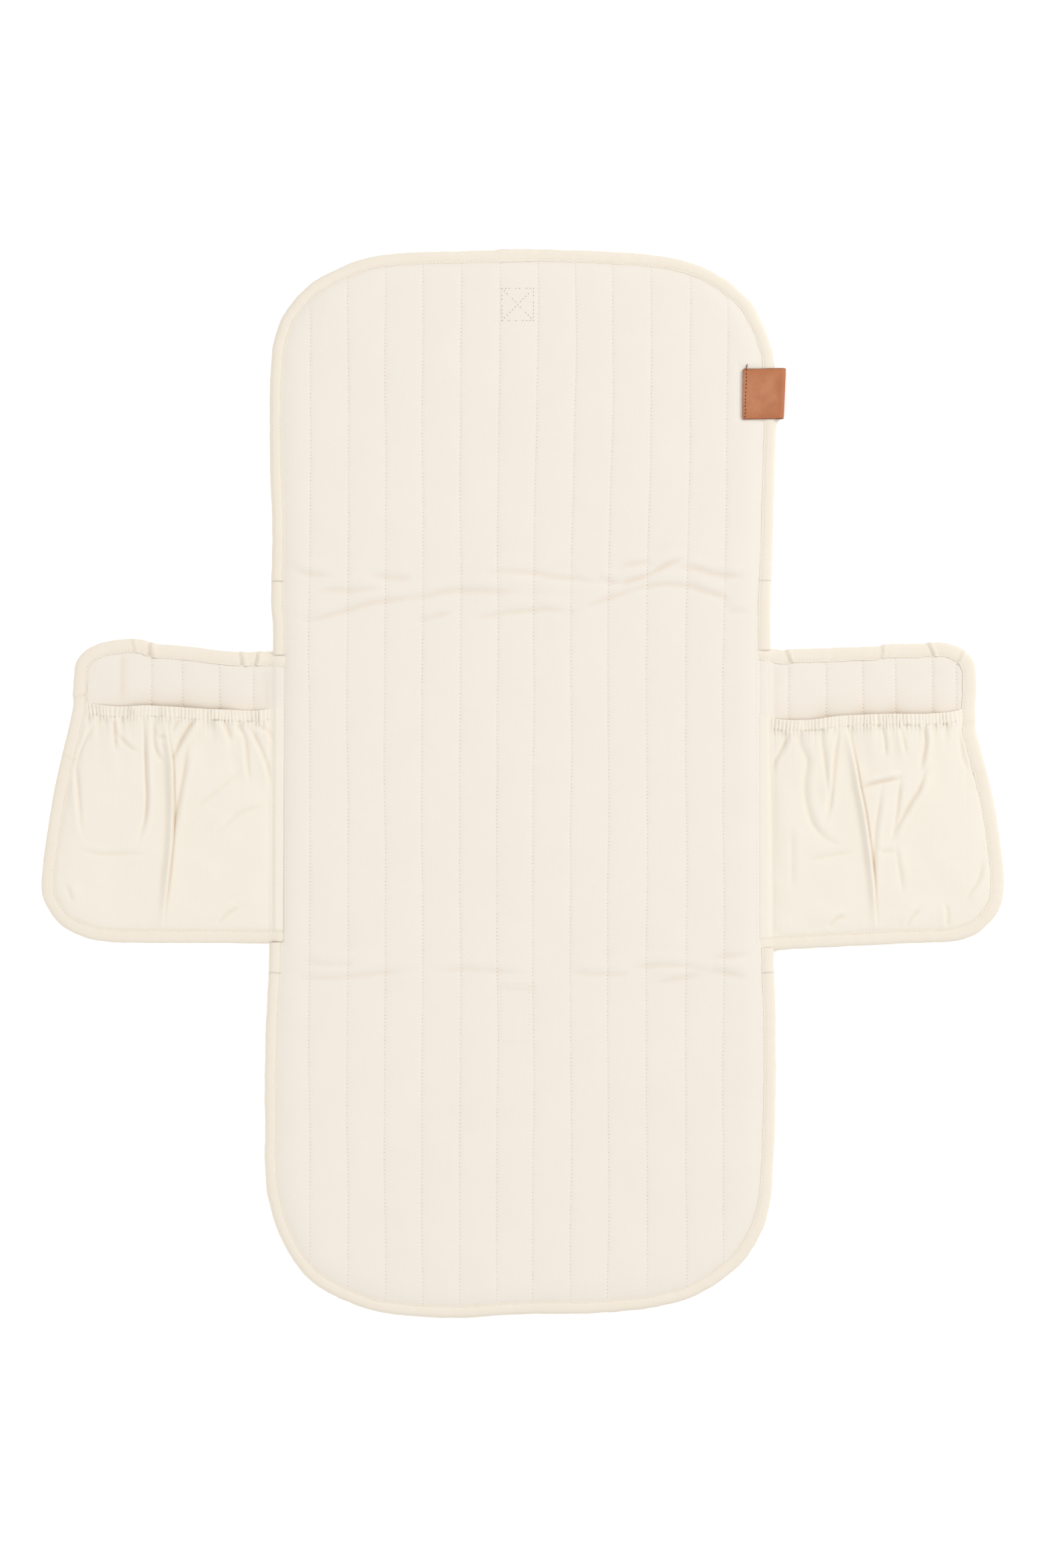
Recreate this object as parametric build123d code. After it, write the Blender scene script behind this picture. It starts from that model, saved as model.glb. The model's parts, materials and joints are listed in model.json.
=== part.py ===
from build123d import *
import os

os.makedirs("parts", exist_ok=True)

# A fold-up changing pad, laid out flat. X runs across it, Y along it with the flap end at +Y,
# and Z is up from the floor. Sizes are in mm.

# Driving sizes
PAD_WIDTH = 340.0
PAD_LENGTH = 725.0
PAD_THICK = 8.0
CORNER_R = 66.0
BINDING_WIDTH = 8.5
LOWER_FOLD_BAND = 11.3
WING_THICK = 3.6
POCKET_DEPTH = 5.6
LOOP_WIDTH = 34.5
STRAP_WIDTH = 24.0
STRAP_FREE = 30.0

# Cloth and leather thicknesses
QUILT_CLOTH = 0.6
WING_CLOTH = 0.5
BINDING_CLOTH = 1.0
WING_BINDING_CLOTH = 0.8
POCKET_CLOTH = 0.8
LEATHER = 1.2
HOOK_THICK = 0.9
LOOP_PATCH_THICK = 1.0

# Clearances
JOINT_GAP = 0.4
FOLD_CLEAR = 0.5
WING_MEET = 4.0
SLOT_CLEAR = 0.4
LEAF_GAP = 0.3

# Worked out from the sizes above
SIDE = PAD_WIDTH / 2
END = PAD_LENGTH / 2
EDGE_THICK = 0.75 * PAD_THICK
HINGE_X = SIDE - 5.0
CORE_X = SIDE - BINDING_WIDTH
UPPER_FOLD_BAND = LOWER_FOLD_BAND + PAD_THICK + FOLD_CLEAR
UPPER_A = 0.3523 * END
UPPER_B = UPPER_A + UPPER_FOLD_BAND
LOWER_A = -0.3377 * END
LOWER_B = LOWER_A - LOWER_FOLD_BAND
WING_TOP = 0.2524 * END
WING_BOTTOM = -0.3048 * END
WING_REACH = 2 * HINGE_X - WING_MEET
WING_WAIST = WING_REACH - 0.118 * (WING_REACH - HINGE_X)
WING_CORNER = 28.0
HEM_TOP = 0.1379 * END
HEM_WIDTH = 7.6
ELASTIC_WIDTH = 6.0
ELASTIC_THICK = 0.6
LOOP_Y = 0.73 * END
LOOP_IN = SIDE - 20.4
LOOP_OUT = SIDE + 9.4
STRAP_X = -3.5
STRAP_SEWN_TO = END - 50.5
STACK = HOOK_THICK + LEATHER + LEAF_GAP + LEATHER
PATCH_X = 19.0
PATCH_Y = 39.7
PATCH_FROM_FOLD = 1.2


def block(x0, x1, y0, y1, z0, z1):
    centre = Pos((x0 + x1) / 2, (y0 + y1) / 2, (z0 + z1) / 2)
    return centre * Box(x1 - x0, y1 - y0, z1 - z0)


def slab(face, z0, z1):
    return extrude(Pos(0, 0, z0) * face, amount=z1 - z0)


def inset(face, amount):
    return offset(face, amount=-amount)


def rounded(points, radii):
    """A flat outline through the points, each corner rounded by its own radius."""
    face = make_face(Polyline(*points, close=True))
    for (x, y), radius in zip(points, radii):
        corner = face.vertices().sort_by_distance((x, y, 0))[0]
        if radius:
            face = fillet([corner], radius)
    return face


def soft_top(solid, z, radius):
    """Round the edges that lie at height z."""
    level = [e for e in solid.edges() if abs(e.bounding_box().min.Z - z) < 1e-4]
    edges = [e for e in level if abs(e.bounding_box().max.Z - z) < 1e-4]
    return fillet(edges, radius)


def quilt(rim, high, edge, wrap, cloth, width, soft):
    """Face cloth, wadding, backing cloth and binding over one outline.

    The quilt is pressed down to a thinner tongue where the binding wraps its edge.
    """
    core = inset(rim, width)
    lining = inset(rim, width + cloth)
    tongue = inset(rim, wrap)
    whole = soft_top(slab(core, 0, high), high, soft) + slab(tongue, wrap, edge - wrap)
    middle = soft_top(slab(lining, cloth, high - cloth), high - cloth, max(soft - cloth, 0.3))
    wadding = middle + slab(tongue, wrap + cloth, edge - wrap - cloth)
    lower = slab(core, -1, wrap + cloth) + slab(tongue, -1, wrap + cloth)
    backing = (whole & lower) - wadding
    face = whole - wadding - backing
    band = slab(rim, 0, edge)
    outer = [e for e in band.edges() if e.bounding_box().size.Z < 1e-4]
    band = fillet(outer, min(2.0, edge / 2 - 0.2) * 0.9)
    binding = band - slab(core, -1, high) - slab(tongue, wrap, edge - wrap)
    return {"face": face, "wadding": wadding, "backing": backing, "binding": binding}


def press_in(layers, hollow, layer, rim_zone):
    """Press a box-shaped hollow into the quilt, with one cloth layer lining it.

    Inside rim_zone the binding lines the hollow first, and the cloth lies on the binding.
    """
    x0, x1, y0, y1, z0, z1 = hollow

    def grown(by):
        return block(x0 - by, x1 + by, y0 - by, y1 + by, z0 - by, z1 + by)

    wrap = 0.8 * BINDING_CLOTH
    free = grown(0) + (grown(wrap) & rim_zone)
    lined = grown(QUILT_CLOTH) + (grown(wrap + QUILT_CLOTH) & rim_zone)
    whole = layers["face"] + layers["wadding"] + layers["backing"]
    out = dict(layers)
    out["wadding"] = layers["wadding"] - lined
    other = "face" if layer == "backing" else "backing"
    out[other] = layers[other] - free
    out[layer] = layers[layer] + (whole & lined) - free - out[other]
    ring = block(-SIDE, SIDE, -END, END, 0, EDGE_THICK) & rim_zone
    out["binding"] = layers["binding"] + (grown(wrap) & ring) - grown(0)
    return out


def save(name, shape):
    solids = [s for s in shape.solids() if s.volume > 1.0]
    if len(solids) != 1:
        raise ValueError(name + " should be one solid, and is " + str(len(solids)))
    export_step(solids[0], "parts/" + name + ".step")


# The long pad: one quilted outline, parted across at the two double folds
pad_rim = rounded(
    [(-SIDE, -END), (SIDE, -END), (SIDE, END), (-SIDE, END)],
    [CORNER_R, CORNER_R, CORNER_R, CORNER_R],
)
pad = quilt(pad_rim, PAD_THICK, EDGE_THICK, BINDING_CLOTH, QUILT_CLOTH, BINDING_WIDTH, 2.0)
pad_core = inset(pad_rim, BINDING_WIDTH)
rim_zone = slab(pad_rim, -5, PAD_THICK + 5) - slab(pad_core, -6, PAD_THICK + 6)

half = JOINT_GAP / 2
spans = {
    "flap": (UPPER_B + half, END + 1),
    "upper_spine": (UPPER_A + half, UPPER_B - half),
    "middle": (LOWER_A + half, UPPER_A - half),
    "lower_spine": (LOWER_B + half, LOWER_A - half),
    "lower_panel": (-END - 1, LOWER_B - half),
}


def length_of_pad(name):
    y0, y1 = spans[name]
    cut = block(-SIDE - 1, SIDE + 1, y0, y1, -1, PAD_THICK + 1)
    return {layer: solid & cut for layer, solid in pad.items()}


# Flap: hollows for the leather loop's two ends and for the folded closing strap
flap = length_of_pad("flap")
loop_y0 = LOOP_Y - LOOP_WIDTH / 2
loop_y1 = LOOP_Y + LOOP_WIDTH / 2
loop_top = (LOOP_IN, SIDE + 9, loop_y0, loop_y1, EDGE_THICK, PAD_THICK + 4)
loop_under = (LOOP_IN, SIDE + 9, loop_y0, loop_y1, -4, LEATHER)
strap_slot = (
    STRAP_X - STRAP_WIDTH / 2 - SLOT_CLEAR,
    STRAP_X + STRAP_WIDTH / 2 + SLOT_CLEAR,
    STRAP_SEWN_TO - SLOT_CLEAR,
    END + 9,
    -4,
    STACK,
)
flap = press_in(flap, loop_top, "face", rim_zone)
flap = press_in(flap, loop_under, "backing", rim_zone)
flap = press_in(flap, strap_slot, "backing", rim_zone)
for layer in ("face", "wadding", "backing", "binding"):
    save("flap_" + layer, flap[layer])

# Lower panel: a shallow hollow in its underside for the loop patch
lower = length_of_pad("lower_panel")
patch_y1 = LOWER_B - PATCH_FROM_FOLD
patch_y0 = patch_y1 - PATCH_Y
patch_box = (STRAP_X - PATCH_X / 2, STRAP_X + PATCH_X / 2, patch_y0, patch_y1)
lower = press_in(lower, patch_box + (-4, LOOP_PATCH_THICK), "backing", rim_zone)
for layer in ("face", "wadding", "backing", "binding"):
    save("lower_" + layer, lower[layer])
save("loop_patch", block(*patch_box, 0, LOOP_PATCH_THICK))

# The two spines between the fold lines
for name in ("upper_spine", "lower_spine"):
    spine = length_of_pad(name)
    for layer in ("face", "wadding", "backing"):
        save(name + "_" + layer, spine[layer])
    y0, y1 = spans[name]
    for side, x0, x1 in (("left", -SIDE - 1, 0), ("right", 0, SIDE + 1)):
        save(name + "_binding_" + side, spine["binding"] & block(x0, x1, y0, y1, -1, PAD_THICK))

# Middle panel: its edge is trimmed back and seamed where each wing joins it
middle = length_of_pad("middle")
seam_y0 = WING_BOTTOM - JOINT_GAP
seam_y1 = WING_TOP + JOINT_GAP
seam_out = HINGE_X - half
for sign in (-1, 1):
    x0, x1 = sorted((sign * (seam_out - BINDING_CLOTH), sign * (SIDE + 1)))
    trim = block(x0, x1, seam_y0, seam_y1, -1, PAD_THICK + 1)
    for layer in ("face", "wadding", "backing"):
        middle[layer] = middle[layer] - trim
for layer in ("face", "wadding", "backing"):
    save("middle_" + layer, middle[layer])
for side, sign in (("left", -1), ("right", 1)):
    x0, x1 = sorted((sign * CORE_X, sign * (SIDE + 1)))
    for part, y0, y1 in (("upper", seam_y1, END), ("lower", -END, seam_y0)):
        piece = middle["binding"] & block(x0, x1, y0, y1, -1, PAD_THICK)
        save("middle_binding_" + side + "_" + part, piece)
    x0, x1 = sorted((sign * CORE_X, sign * seam_out))
    strip = block(x0, x1, seam_y0, seam_y1, 0, EDGE_THICK)
    outer = strip.edges().filter_by(Axis.Y).sort_by(Axis.X)
    outer = outer[2:] if sign > 0 else outer[:2]
    strip = fillet(outer, 1.0)
    x0, x1 = sorted((sign * (CORE_X - 1), sign * (seam_out - BINDING_CLOTH)))
    strip = strip - block(x0, x1, seam_y0, seam_y1, BINDING_CLOTH, EDGE_THICK - BINDING_CLOTH)
    save("seam_strip_" + side, strip)

# Leather loop: one strip bent round the flap's edge, its two ends sewn to the quilt
bend_r = (EDGE_THICK + LEATHER) / 2
bend_x = LOOP_OUT - bend_r
profile = Pos(bend_x, bend_r) * Circle(bend_r) - Pos(bend_x, bend_r) * Circle(bend_r - LEATHER)
profile = profile & (Pos(bend_x + bend_r, bend_r) * Rectangle(2 * bend_r, 3 * bend_r))
for z in (LEATHER / 2, EDGE_THICK + LEATHER / 2):
    profile = profile + Pos((LOOP_IN + bend_x) / 2, z) * Rectangle(bend_x - LOOP_IN, LEATHER)
loop = extrude(Plane(origin=(0, loop_y1, 0), z_dir=(0, -1, 0), x_dir=(1, 0, 0)) * profile, amount=LOOP_WIDTH)
loop_ends = [e for e in loop.edges().filter_by(Axis.Z) if abs(e.center().X - LOOP_IN) < 0.01]
loop = fillet(loop_ends, 3.0)
save("leather_loop", loop)

# Closing strap: the leaf sewn to the flap's underside, and the free leaf folded back under it
sx0 = STRAP_X - STRAP_WIDTH / 2
sx1 = STRAP_X + STRAP_WIDTH / 2
leaf_end = END + 0.1
free_z0 = HOOK_THICK
fixed_z0 = HOOK_THICK + LEATHER + LEAF_GAP


def leaf(y0, y1, z0, radius):
    body = block(sx0, sx1, y0, y1, z0, z0 + LEATHER)
    corners = body.edges().filter_by(Axis.Z).sort_by(Axis.Y)[:2]
    return fillet(corners, radius)


save("strap_sewn_leaf", leaf(STRAP_SEWN_TO, leaf_end, fixed_z0, 2.0))
save("strap_free_leaf", leaf(leaf_end - STRAP_FREE, leaf_end, free_z0, 5.0))
hook_y0 = leaf_end - STRAP_FREE + 2.0
hook_x0 = STRAP_X - PATCH_X / 2
save("hook_patch", block(hook_x0, hook_x0 + PATCH_X, hook_y0, hook_y0 + 21.0, 0, HOOK_THICK))

# Right wing, mirrored to give the left one
wing_rim = rounded(
    [
        (HINGE_X - 40, WING_TOP - 1.5),
        (WING_WAIST, WING_TOP + 6.0),
        (WING_WAIST, 0.110 * END),
        (WING_REACH, -0.138 * END),
        (WING_REACH, WING_BOTTOM + 2.5),
        (HINGE_X - 40, WING_BOTTOM),
    ],
    [0, WING_CORNER, 60.0, 60.0, WING_CORNER, 0],
)
wing = quilt(wing_rim, WING_THICK, WING_THICK, WING_BINDING_CLOTH, WING_CLOTH, BINDING_WIDTH, 0.5)
wing_in = HINGE_X + half
wing_cut = block(wing_in, WING_REACH + 5, -END, END, -1, 40)


def dome(start, high):
    """The space under a pocket front whose sides slope up at 45 degrees to a flat top."""
    base = inset(wing_rim, BINDING_WIDTH + start)
    low_cut = HINGE_X + 2.7 + start
    high_cut = low_cut + high
    base = base & (Pos(low_cut + 500, 0) * Rectangle(1000, 4 * END))
    top = inset(wing_rim, BINDING_WIDTH + start + high)
    top = top & (Pos(high_cut + 500, 0) * Rectangle(1000, 4 * END))
    return loft([Pos(0, 0, WING_THICK) * base, Pos(0, 0, WING_THICK + high) * top], ruled=True)


slope = 1.41421
front = dome(0, POCKET_DEPTH) - dome(POCKET_CLOTH * slope, POCKET_DEPTH - POCKET_CLOTH)
mouth = HEM_TOP - HEM_WIDTH
front = front & block(HINGE_X, WING_REACH, -END, mouth, 0, 40)
hem = dome(-0.6, POCKET_DEPTH + 0.6) - dome((POCKET_CLOTH + 0.2) * slope, POCKET_DEPTH - POCKET_CLOTH - 0.2)
hem = hem & block(HINGE_X, WING_REACH, mouth, HEM_TOP, 0, 40)
elastic_out = POCKET_DEPTH + 0.6 - 0.6
elastic = dome(0.2, elastic_out) - dome(0.2 + ELASTIC_THICK * slope, elastic_out - ELASTIC_THICK)
elastic_y0 = HEM_TOP - (HEM_WIDTH + ELASTIC_WIDTH) / 2
elastic = elastic & block(HINGE_X, WING_REACH, elastic_y0, elastic_y0 + ELASTIC_WIDTH, 0, 40)
hem = hem - elastic

pieces = {"wing_" + layer: wing[layer] & wing_cut for layer in wing}
pieces["pocket_front"] = front
pieces["pocket_hem"] = hem
pieces["pocket_elastic"] = elastic
for name, shape in pieces.items():
    save("right_" + name, shape)
    save("left_" + name, mirror(shape, about=Plane.YZ))
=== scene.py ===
"""Fold-up changing pad: quilted cotton, bound edges, pocket wings, leather loop and strap."""
import json
import math

import bpy
import numpy as np
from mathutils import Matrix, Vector


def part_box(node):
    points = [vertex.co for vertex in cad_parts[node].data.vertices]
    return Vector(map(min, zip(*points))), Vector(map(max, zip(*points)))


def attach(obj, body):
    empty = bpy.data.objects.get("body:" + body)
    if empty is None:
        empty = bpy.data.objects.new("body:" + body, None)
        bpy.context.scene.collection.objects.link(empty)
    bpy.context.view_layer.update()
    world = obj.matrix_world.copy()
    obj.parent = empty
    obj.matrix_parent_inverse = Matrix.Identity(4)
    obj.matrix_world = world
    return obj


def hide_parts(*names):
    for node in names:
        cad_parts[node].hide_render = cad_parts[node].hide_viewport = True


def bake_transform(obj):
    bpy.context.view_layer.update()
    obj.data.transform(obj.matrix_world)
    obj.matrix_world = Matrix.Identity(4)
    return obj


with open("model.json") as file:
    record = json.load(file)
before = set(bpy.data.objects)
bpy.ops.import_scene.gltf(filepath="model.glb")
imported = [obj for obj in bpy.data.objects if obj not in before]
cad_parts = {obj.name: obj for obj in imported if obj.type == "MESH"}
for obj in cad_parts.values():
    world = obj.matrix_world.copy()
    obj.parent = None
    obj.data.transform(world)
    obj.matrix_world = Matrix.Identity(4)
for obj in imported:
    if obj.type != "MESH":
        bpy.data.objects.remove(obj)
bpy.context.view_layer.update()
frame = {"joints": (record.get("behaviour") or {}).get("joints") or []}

MM = 0.001
JOINTS = {j["name"]: np.array(j["pos_m"]) / MM for j in frame["joints"]}


def node_box(name):
    """Lowest and highest corner of a CAD node, in mm."""
    low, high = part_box(name)
    return np.array(low) / MM, np.array(high) / MM


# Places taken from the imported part, in mm
SIDE = node_box("middle_binding_right_upper")[1][0]
END = node_box("flap_binding")[1][1]
EDGE = node_box("flap_binding")[1][2]
QUILT = node_box("flap_face")[1][2]
SEAM_X = node_box("seam_strip_right")[0][0]
WING_EDGE = node_box("right_wing_binding")[1][2]
LOOP_LOW, LOOP_HIGH = node_box("leather_loop")
SEWN_LOW, SEWN_HIGH = node_box("strap_sewn_leaf")
LEAF_LOW, LEAF_HIGH = node_box("strap_free_leaf")
HOOK_LOW, HOOK_HIGH = node_box("hook_patch")
PATCH_LOW, PATCH_HIGH = node_box("loop_patch")
UPPER_IN, UPPER_OUT = JOINTS["upper_fold_inner"][1], JOINTS["upper_fold_outer"][1]
LOWER_IN, LOWER_OUT = JOINTS["lower_fold_inner"][1], JOINTS["lower_fold_outer"][1]
HINGE_Z = JOINTS["right_wing_fold"][2]
UPPER_MID, LOWER_MID = (UPPER_IN + UPPER_OUT) / 2, (LOWER_IN + LOWER_OUT) / 2
MIDDLE = -8.0

# Sewing sizes, in mm
PITCH = 2.45
CLOTH = 0.55
BINDING = 8.7
WING_BINDING = 9.6
LEATHER_THICK = 1.2
STITCH_AT = 0.855
ZIGZAG = 0.16
QUILT_LINES = np.array([-143.3, -117.5, -92.2, -66.9, -41.1, -14.9, 10.8, 36.6, 61.9, 88.1, 114.8, 140.1])

# The pad's own outline, anticlockwise from the lower right, as the sewn edge really runs
PAD_RIM = [(172.7, -191.4), (172.2, -146.2), (171.3, -123.6), (170.4, -55.8), (169.5, 34.6), (169, 102.4),
           (169, 125), (170.9, 170.2), (171.8, 215.4), (172.7, 238), (172.7, 260.6), (171.3, 289.5),
           (169, 298.5), (165.9, 307.6), (161.4, 317.1), (156.8, 325.7), (147.8, 334.7), (136.5, 343.7),
           (118.4, 352.8), (93.6, 358.7), (52.9, 361.8), (25.8, 362.7), (-1.4, 362.9), (-42, 361.8),
           (-82.7, 360.5), (-109.8, 355.9), (-137, 343.7), (-148.7, 334.7), (-156.8, 325.7),
           (-162.7, 316.6), (-166.3, 307.6), (-168.6, 298.5), (-170, 289.5), (-171.3, 260.6), (-171.3, 238),
           (-170.9, 215.4), (-169.5, 170.2), (-170.4, 125), (-169, 102.4), (-169.5, 34.6), (-170.9, -55.8),
           (-171.8, -123.6), (-173.1, -146.2), (-174.5, -191.4), (-174.5, -236.6), (-174.5, -259.2),
           (-172.2, -281.8), (-165.4, -304.4), (-152.8, -327), (-137, -341.9), (-109.8, -355),
           (-82.7, -360.5), (-42, -362.5), (-1.4, -360), (52.9, -359.1), (93.6, -354.6), (120.7, -346),
           (147.8, -326.6), (162.7, -304.4), (169, -281.8), (170.9, -259.2), (171.8, -236.6)]
LEFT_RIM = [(-150, 88.8), (-161.4, 89), (-170.1, 89.4), (-181.1, 89.9), (-189.9, 89.4), (-206.3, 91),
            (-228.2, 93.8), (-241.3, 94.6), (-250.1, 95.4), (-256.7, 98.1), (-267.6, 98.7), (-277.5, 97.6),
            (-287.4, 95.4), (-295, 91.6), (-300.5, 86.1), (-303.2, 80.6), (-304.3, 71.8), (-304.9, 60.9),
            (-305.1, 51), (-309.9, 29.1), (-313.9, 12.2), (-317.8, -5.8), (-321.2, -26), (-324, -45.1),
            (-325.7, -59.7), (-326.2, -71), (-324.5, -78.8), (-320, -87.8), (-313.3, -95.7),
            (-304.3, -101.3), (-293.1, -105.3), (-278.4, -107.5), (-259.3, -107.9), (-225.6, -108.1),
            (-191.9, -108.3), (-171.6, -108.3), (-163.8, -108.8), (-150, -109.3)]
RIGHT_RIM = [(150, 94.5), (161.1, 94.1), (169.6, 92), (178.2, 90.9), (184.6, 92), (199.5, 92), (220.8, 93),
             (240, 93.6), (247.5, 95), (268.8, 95.4), (284.8, 96.2), (294.4, 94.1), (301.9, 89.3),
             (306.2, 84.5), (308.3, 77), (308.8, 64.2), (308, 51.4), (308.3, 44.7), (308.5, 35.7),
             (312.8, 19.9), (318.4, -1.6), (323, -24.2), (325.8, -44.5), (327.4, -61.5), (327.4, -72.8),
             (325.2, -82.9), (319.6, -92), (311.7, -99.9), (302.6, -104.4), (290.2, -107.2),
             (258.5, -108.4), (224.6, -110.1), (190.7, -111.8), (172.1, -113.2), (163.1, -113.7),
             (150, -114.2)]
LEFT_HEM = [(-297.5, 55.6), (-293.1, 55), (-281.8, 53.3), (-270.6, 52.7), (-254.8, 53.4), (-236.8, 52.5),
            (-214.4, 51), (-197.5, 50.5), (-180.6, 49.9), (-169.4, 51.6), (-162.6, 53.2)]
RIGHT_HEM = [(162.6, 47.5), (164.8, 46.4), (169.3, 45), (179.4, 43.6), (196.4, 43.8), (213.3, 46.1),
             (224.6, 46.8), (247.2, 47.6), (269.8, 47.6), (281.1, 48.1), (292.4, 49.3), (301, 51.6)]

# Creases pressed into the quilt by folding: points, depth, width, and step up on the left of its run
PAD_CREASES = [
    ([(-157.9, 113.3), (-142.2, 112.7), (-130.1, 115.7), (-116.8, 119.4), (-104.7, 123), (-91.4, 125.1),
      (-79.2, 126.6), (-65.9, 128.4)], 0.55, 2.4, 0.5),
    ([(-79.2, 126.6), (-65.9, 128.4), (-53.8, 131.5), (-41.7, 132.3), (-27.2, 132.1), (-12.7, 131.5),
      (-3, 132.7)], 0.45, 2.6, 0.5),
    ([(-141, 130.9), (-131.3, 132.7), (-116.8, 132.3), (-99.8, 132.7), (-92.6, 129.9)], 0.4, 2.4, 0.4),
    ([(-159.2, 149), (-150.7, 144.8), (-142.2, 143), (-128.9, 142)], 0.45, 2.4, 0.4),
    ([(-26, 141.8), (-12.7, 143), (7.7, 141.8), (22.9, 138.7), (35, 138.1), (47.1, 136.3), (59.2, 135.5)],
     0.4, 2.6, -0.5),
    ([(59.2, 135.5), (71.3, 138.1), (85.8, 143), (99.1, 150.2), (112.5, 155.1)], 0.65, 1.9, 0.7),
    ([(-36.9, 112.7), (-24.8, 114.5), (-12.7, 116.9), (7.7, 118.8), (16.8, 119.4), (35, 117.6)],
     0.45, 2.4, 0.4),
    ([(-104.7, 143), (-91.4, 141.2), (-73.2, 140)], 0.4, 2.6, 0.3),
    ([(-73.2, 111.5), (-61.1, 113.9), (-46.6, 118.2)], 0.4, 2.4, 0.3),
    ([(35, 117.6), (47.1, 122.4), (59.2, 127.2), (73.7, 132.1), (85.8, 135.1), (99.1, 136.3),
      (113.7, 135.1), (124.6, 132.7), (131.8, 129.7)], 0.5, 2.3, 0.5),
    ([(64, 132.7), (73.7, 137.5), (85.8, 141.2)], 0.4, 2.2, 0.3),
    ([(104, 148.4), (117.3, 147.2), (127, 144.2), (137.9, 142.4), (156, 141.2)], 0.5, 2.2, 0.5),
    ([(113.7, 133.3), (127, 130.3), (141.5, 126)], 0.45, 2.2, 0.4),
    ([(137.9, 118.2), (156, 116.9)], 0.4, 2.4, 0.3),
    ([(50.7, 141.8), (59.2, 138.1), (66.4, 136.9)], 0.35, 2.2, 0.3),
    ([(66.4, 149), (81, 150.2), (90.7, 149)], 0.35, 2.4, 0.3),
    ([(-158, -128), (-140, -130.5), (-118, -129.5), (-96, -127), (-74, -126)], 0.35, 2.4, 0.4),
    ([(-150, -118.5), (-128, -122), (-108, -121)], 0.35, 2.4, 0.3),
    ([(-64, -125.5), (-42, -124.5), (-22, -125.5), (2, -127.5)], 0.3, 2.4, 0.3),
    ([(-22, -137), (-2, -138.2), (12, -137.5)], 0.25, 2.2, 0.2),
    ([(30, -126), (52, -128), (76, -127.4)], 0.35, 2.4, 0.3),
    ([(70, -123.5), (96, -122), (118, -124), (130, -127)], 0.4, 2.3, 0.4),
    ([(88, -134), (106, -131), (124, -128)], 0.4, 2.2, 0.4),
    ([(128, -119.5), (142, -117.5), (156, -117)], 0.4, 2.3, -0.4),
    ([(126, -125), (142, -128), (155, -131)], 0.4, 2.3, 0.4),
]

# Folds of the gathered pocket fronts: points, depth, width, and step up on the left of its run
LEFT_FOLDS = [
    ([(-240.2, 44.8), (-240, 34.7), (-236.8, 16.7), (-236.2, -0.1), (-235.9, -17), (-236.8, -39.5),
      (-239.7, -67.6), (-243.6, -98)], 0.5, 1.2, -2.0),
    ([(-216, 48.4), (-223.4, 40.3), (-229, 31.9), (-234, 22), (-237, 14)], 1.0, 2.0, 1.4),
    ([(-226.4, 28), (-227.9, 12.2), (-231.2, -5.8), (-234.4, -23.8), (-236.6, -39.5)], 0.8, 2.0, 0.8),
    ([(-213.2, 48.8), (-205.4, 44.8), (-201.4, 40.3), (-197.5, 28)], 0.9, 2.0, -0.9),
    ([(-255.7, 44.8), (-254.8, 22.3), (-254.3, 5.5), (-253.7, -8), (-254.8, -22.6), (-259.3, -39.5)],
     0.9, 1.7, 0.9),
    ([(-249.2, 44.8), (-248.7, 28), (-246.4, 20.1), (-243, 15.4)], 0.6, 1.5, 0.5),
    ([(-276.2, 44.8), (-275.6, 32.5), (-275.1, 22.9)], 0.7, 1.6, 0.6),
    ([(-275.6, 35.3), (-266.1, 25.7), (-260.5, 22.9)], 0.5, 1.8, 0.4),
    ([(-286.3, 46), (-294.2, 34.7), (-301.5, 20.1), (-303.4, 12.2), (-301.8, -1.3), (-300.4, -17),
      (-299.2, -30.5), (-296.2, -37.8)], 0.7, 2.0, -0.7),
    ([(-195.2, 42.6), (-189.6, 34.7), (-187.4, 24.6), (-186.2, 11.1), (-184.6, 0.4)], 0.7, 1.8, -0.6),
    ([(-186.2, 40.3), (-178.4, 25.7), (-172.8, 11.1), (-169.8, -2.4)], 0.7, 1.9, -0.6),
    ([(-231.2, 44.8), (-235.7, 37), (-238, 33.6)], 0.5, 1.6, 0.4),
    ([(-182.9, 40.3), (-172.8, 35.8), (-167.1, 28)], 0.5, 1.8, -0.3),
    ([(-300.9, -42.9), (-289.7, -46.2), (-276.2, -46.8), (-253.7, -46)], 0.35, 2.2, 0.3),
    ([(-207.6, -96.8), (-202, -89), (-191.9, -82.2)], 0.5, 1.9, 0.4),
    ([(-308.8, -67.6), (-306, -75.5), (-304.3, -80)], 0.4, 2.0, 0.3),
    ([(-209.9, -35), (-202, -28.3), (-193, -19.3), (-181.8, -14.8), (-173.9, -11.9)], 0.45, 3.5, 0.5),
    ([(-225, -18), (-210, -6), (-196, 6), (-190, 10)], 0.4, 3.5, 0.5),
    ([(-248.1, 32.2), (-239.7, 32.7)], 0.4, 1.6, 0.3),
]
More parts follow.
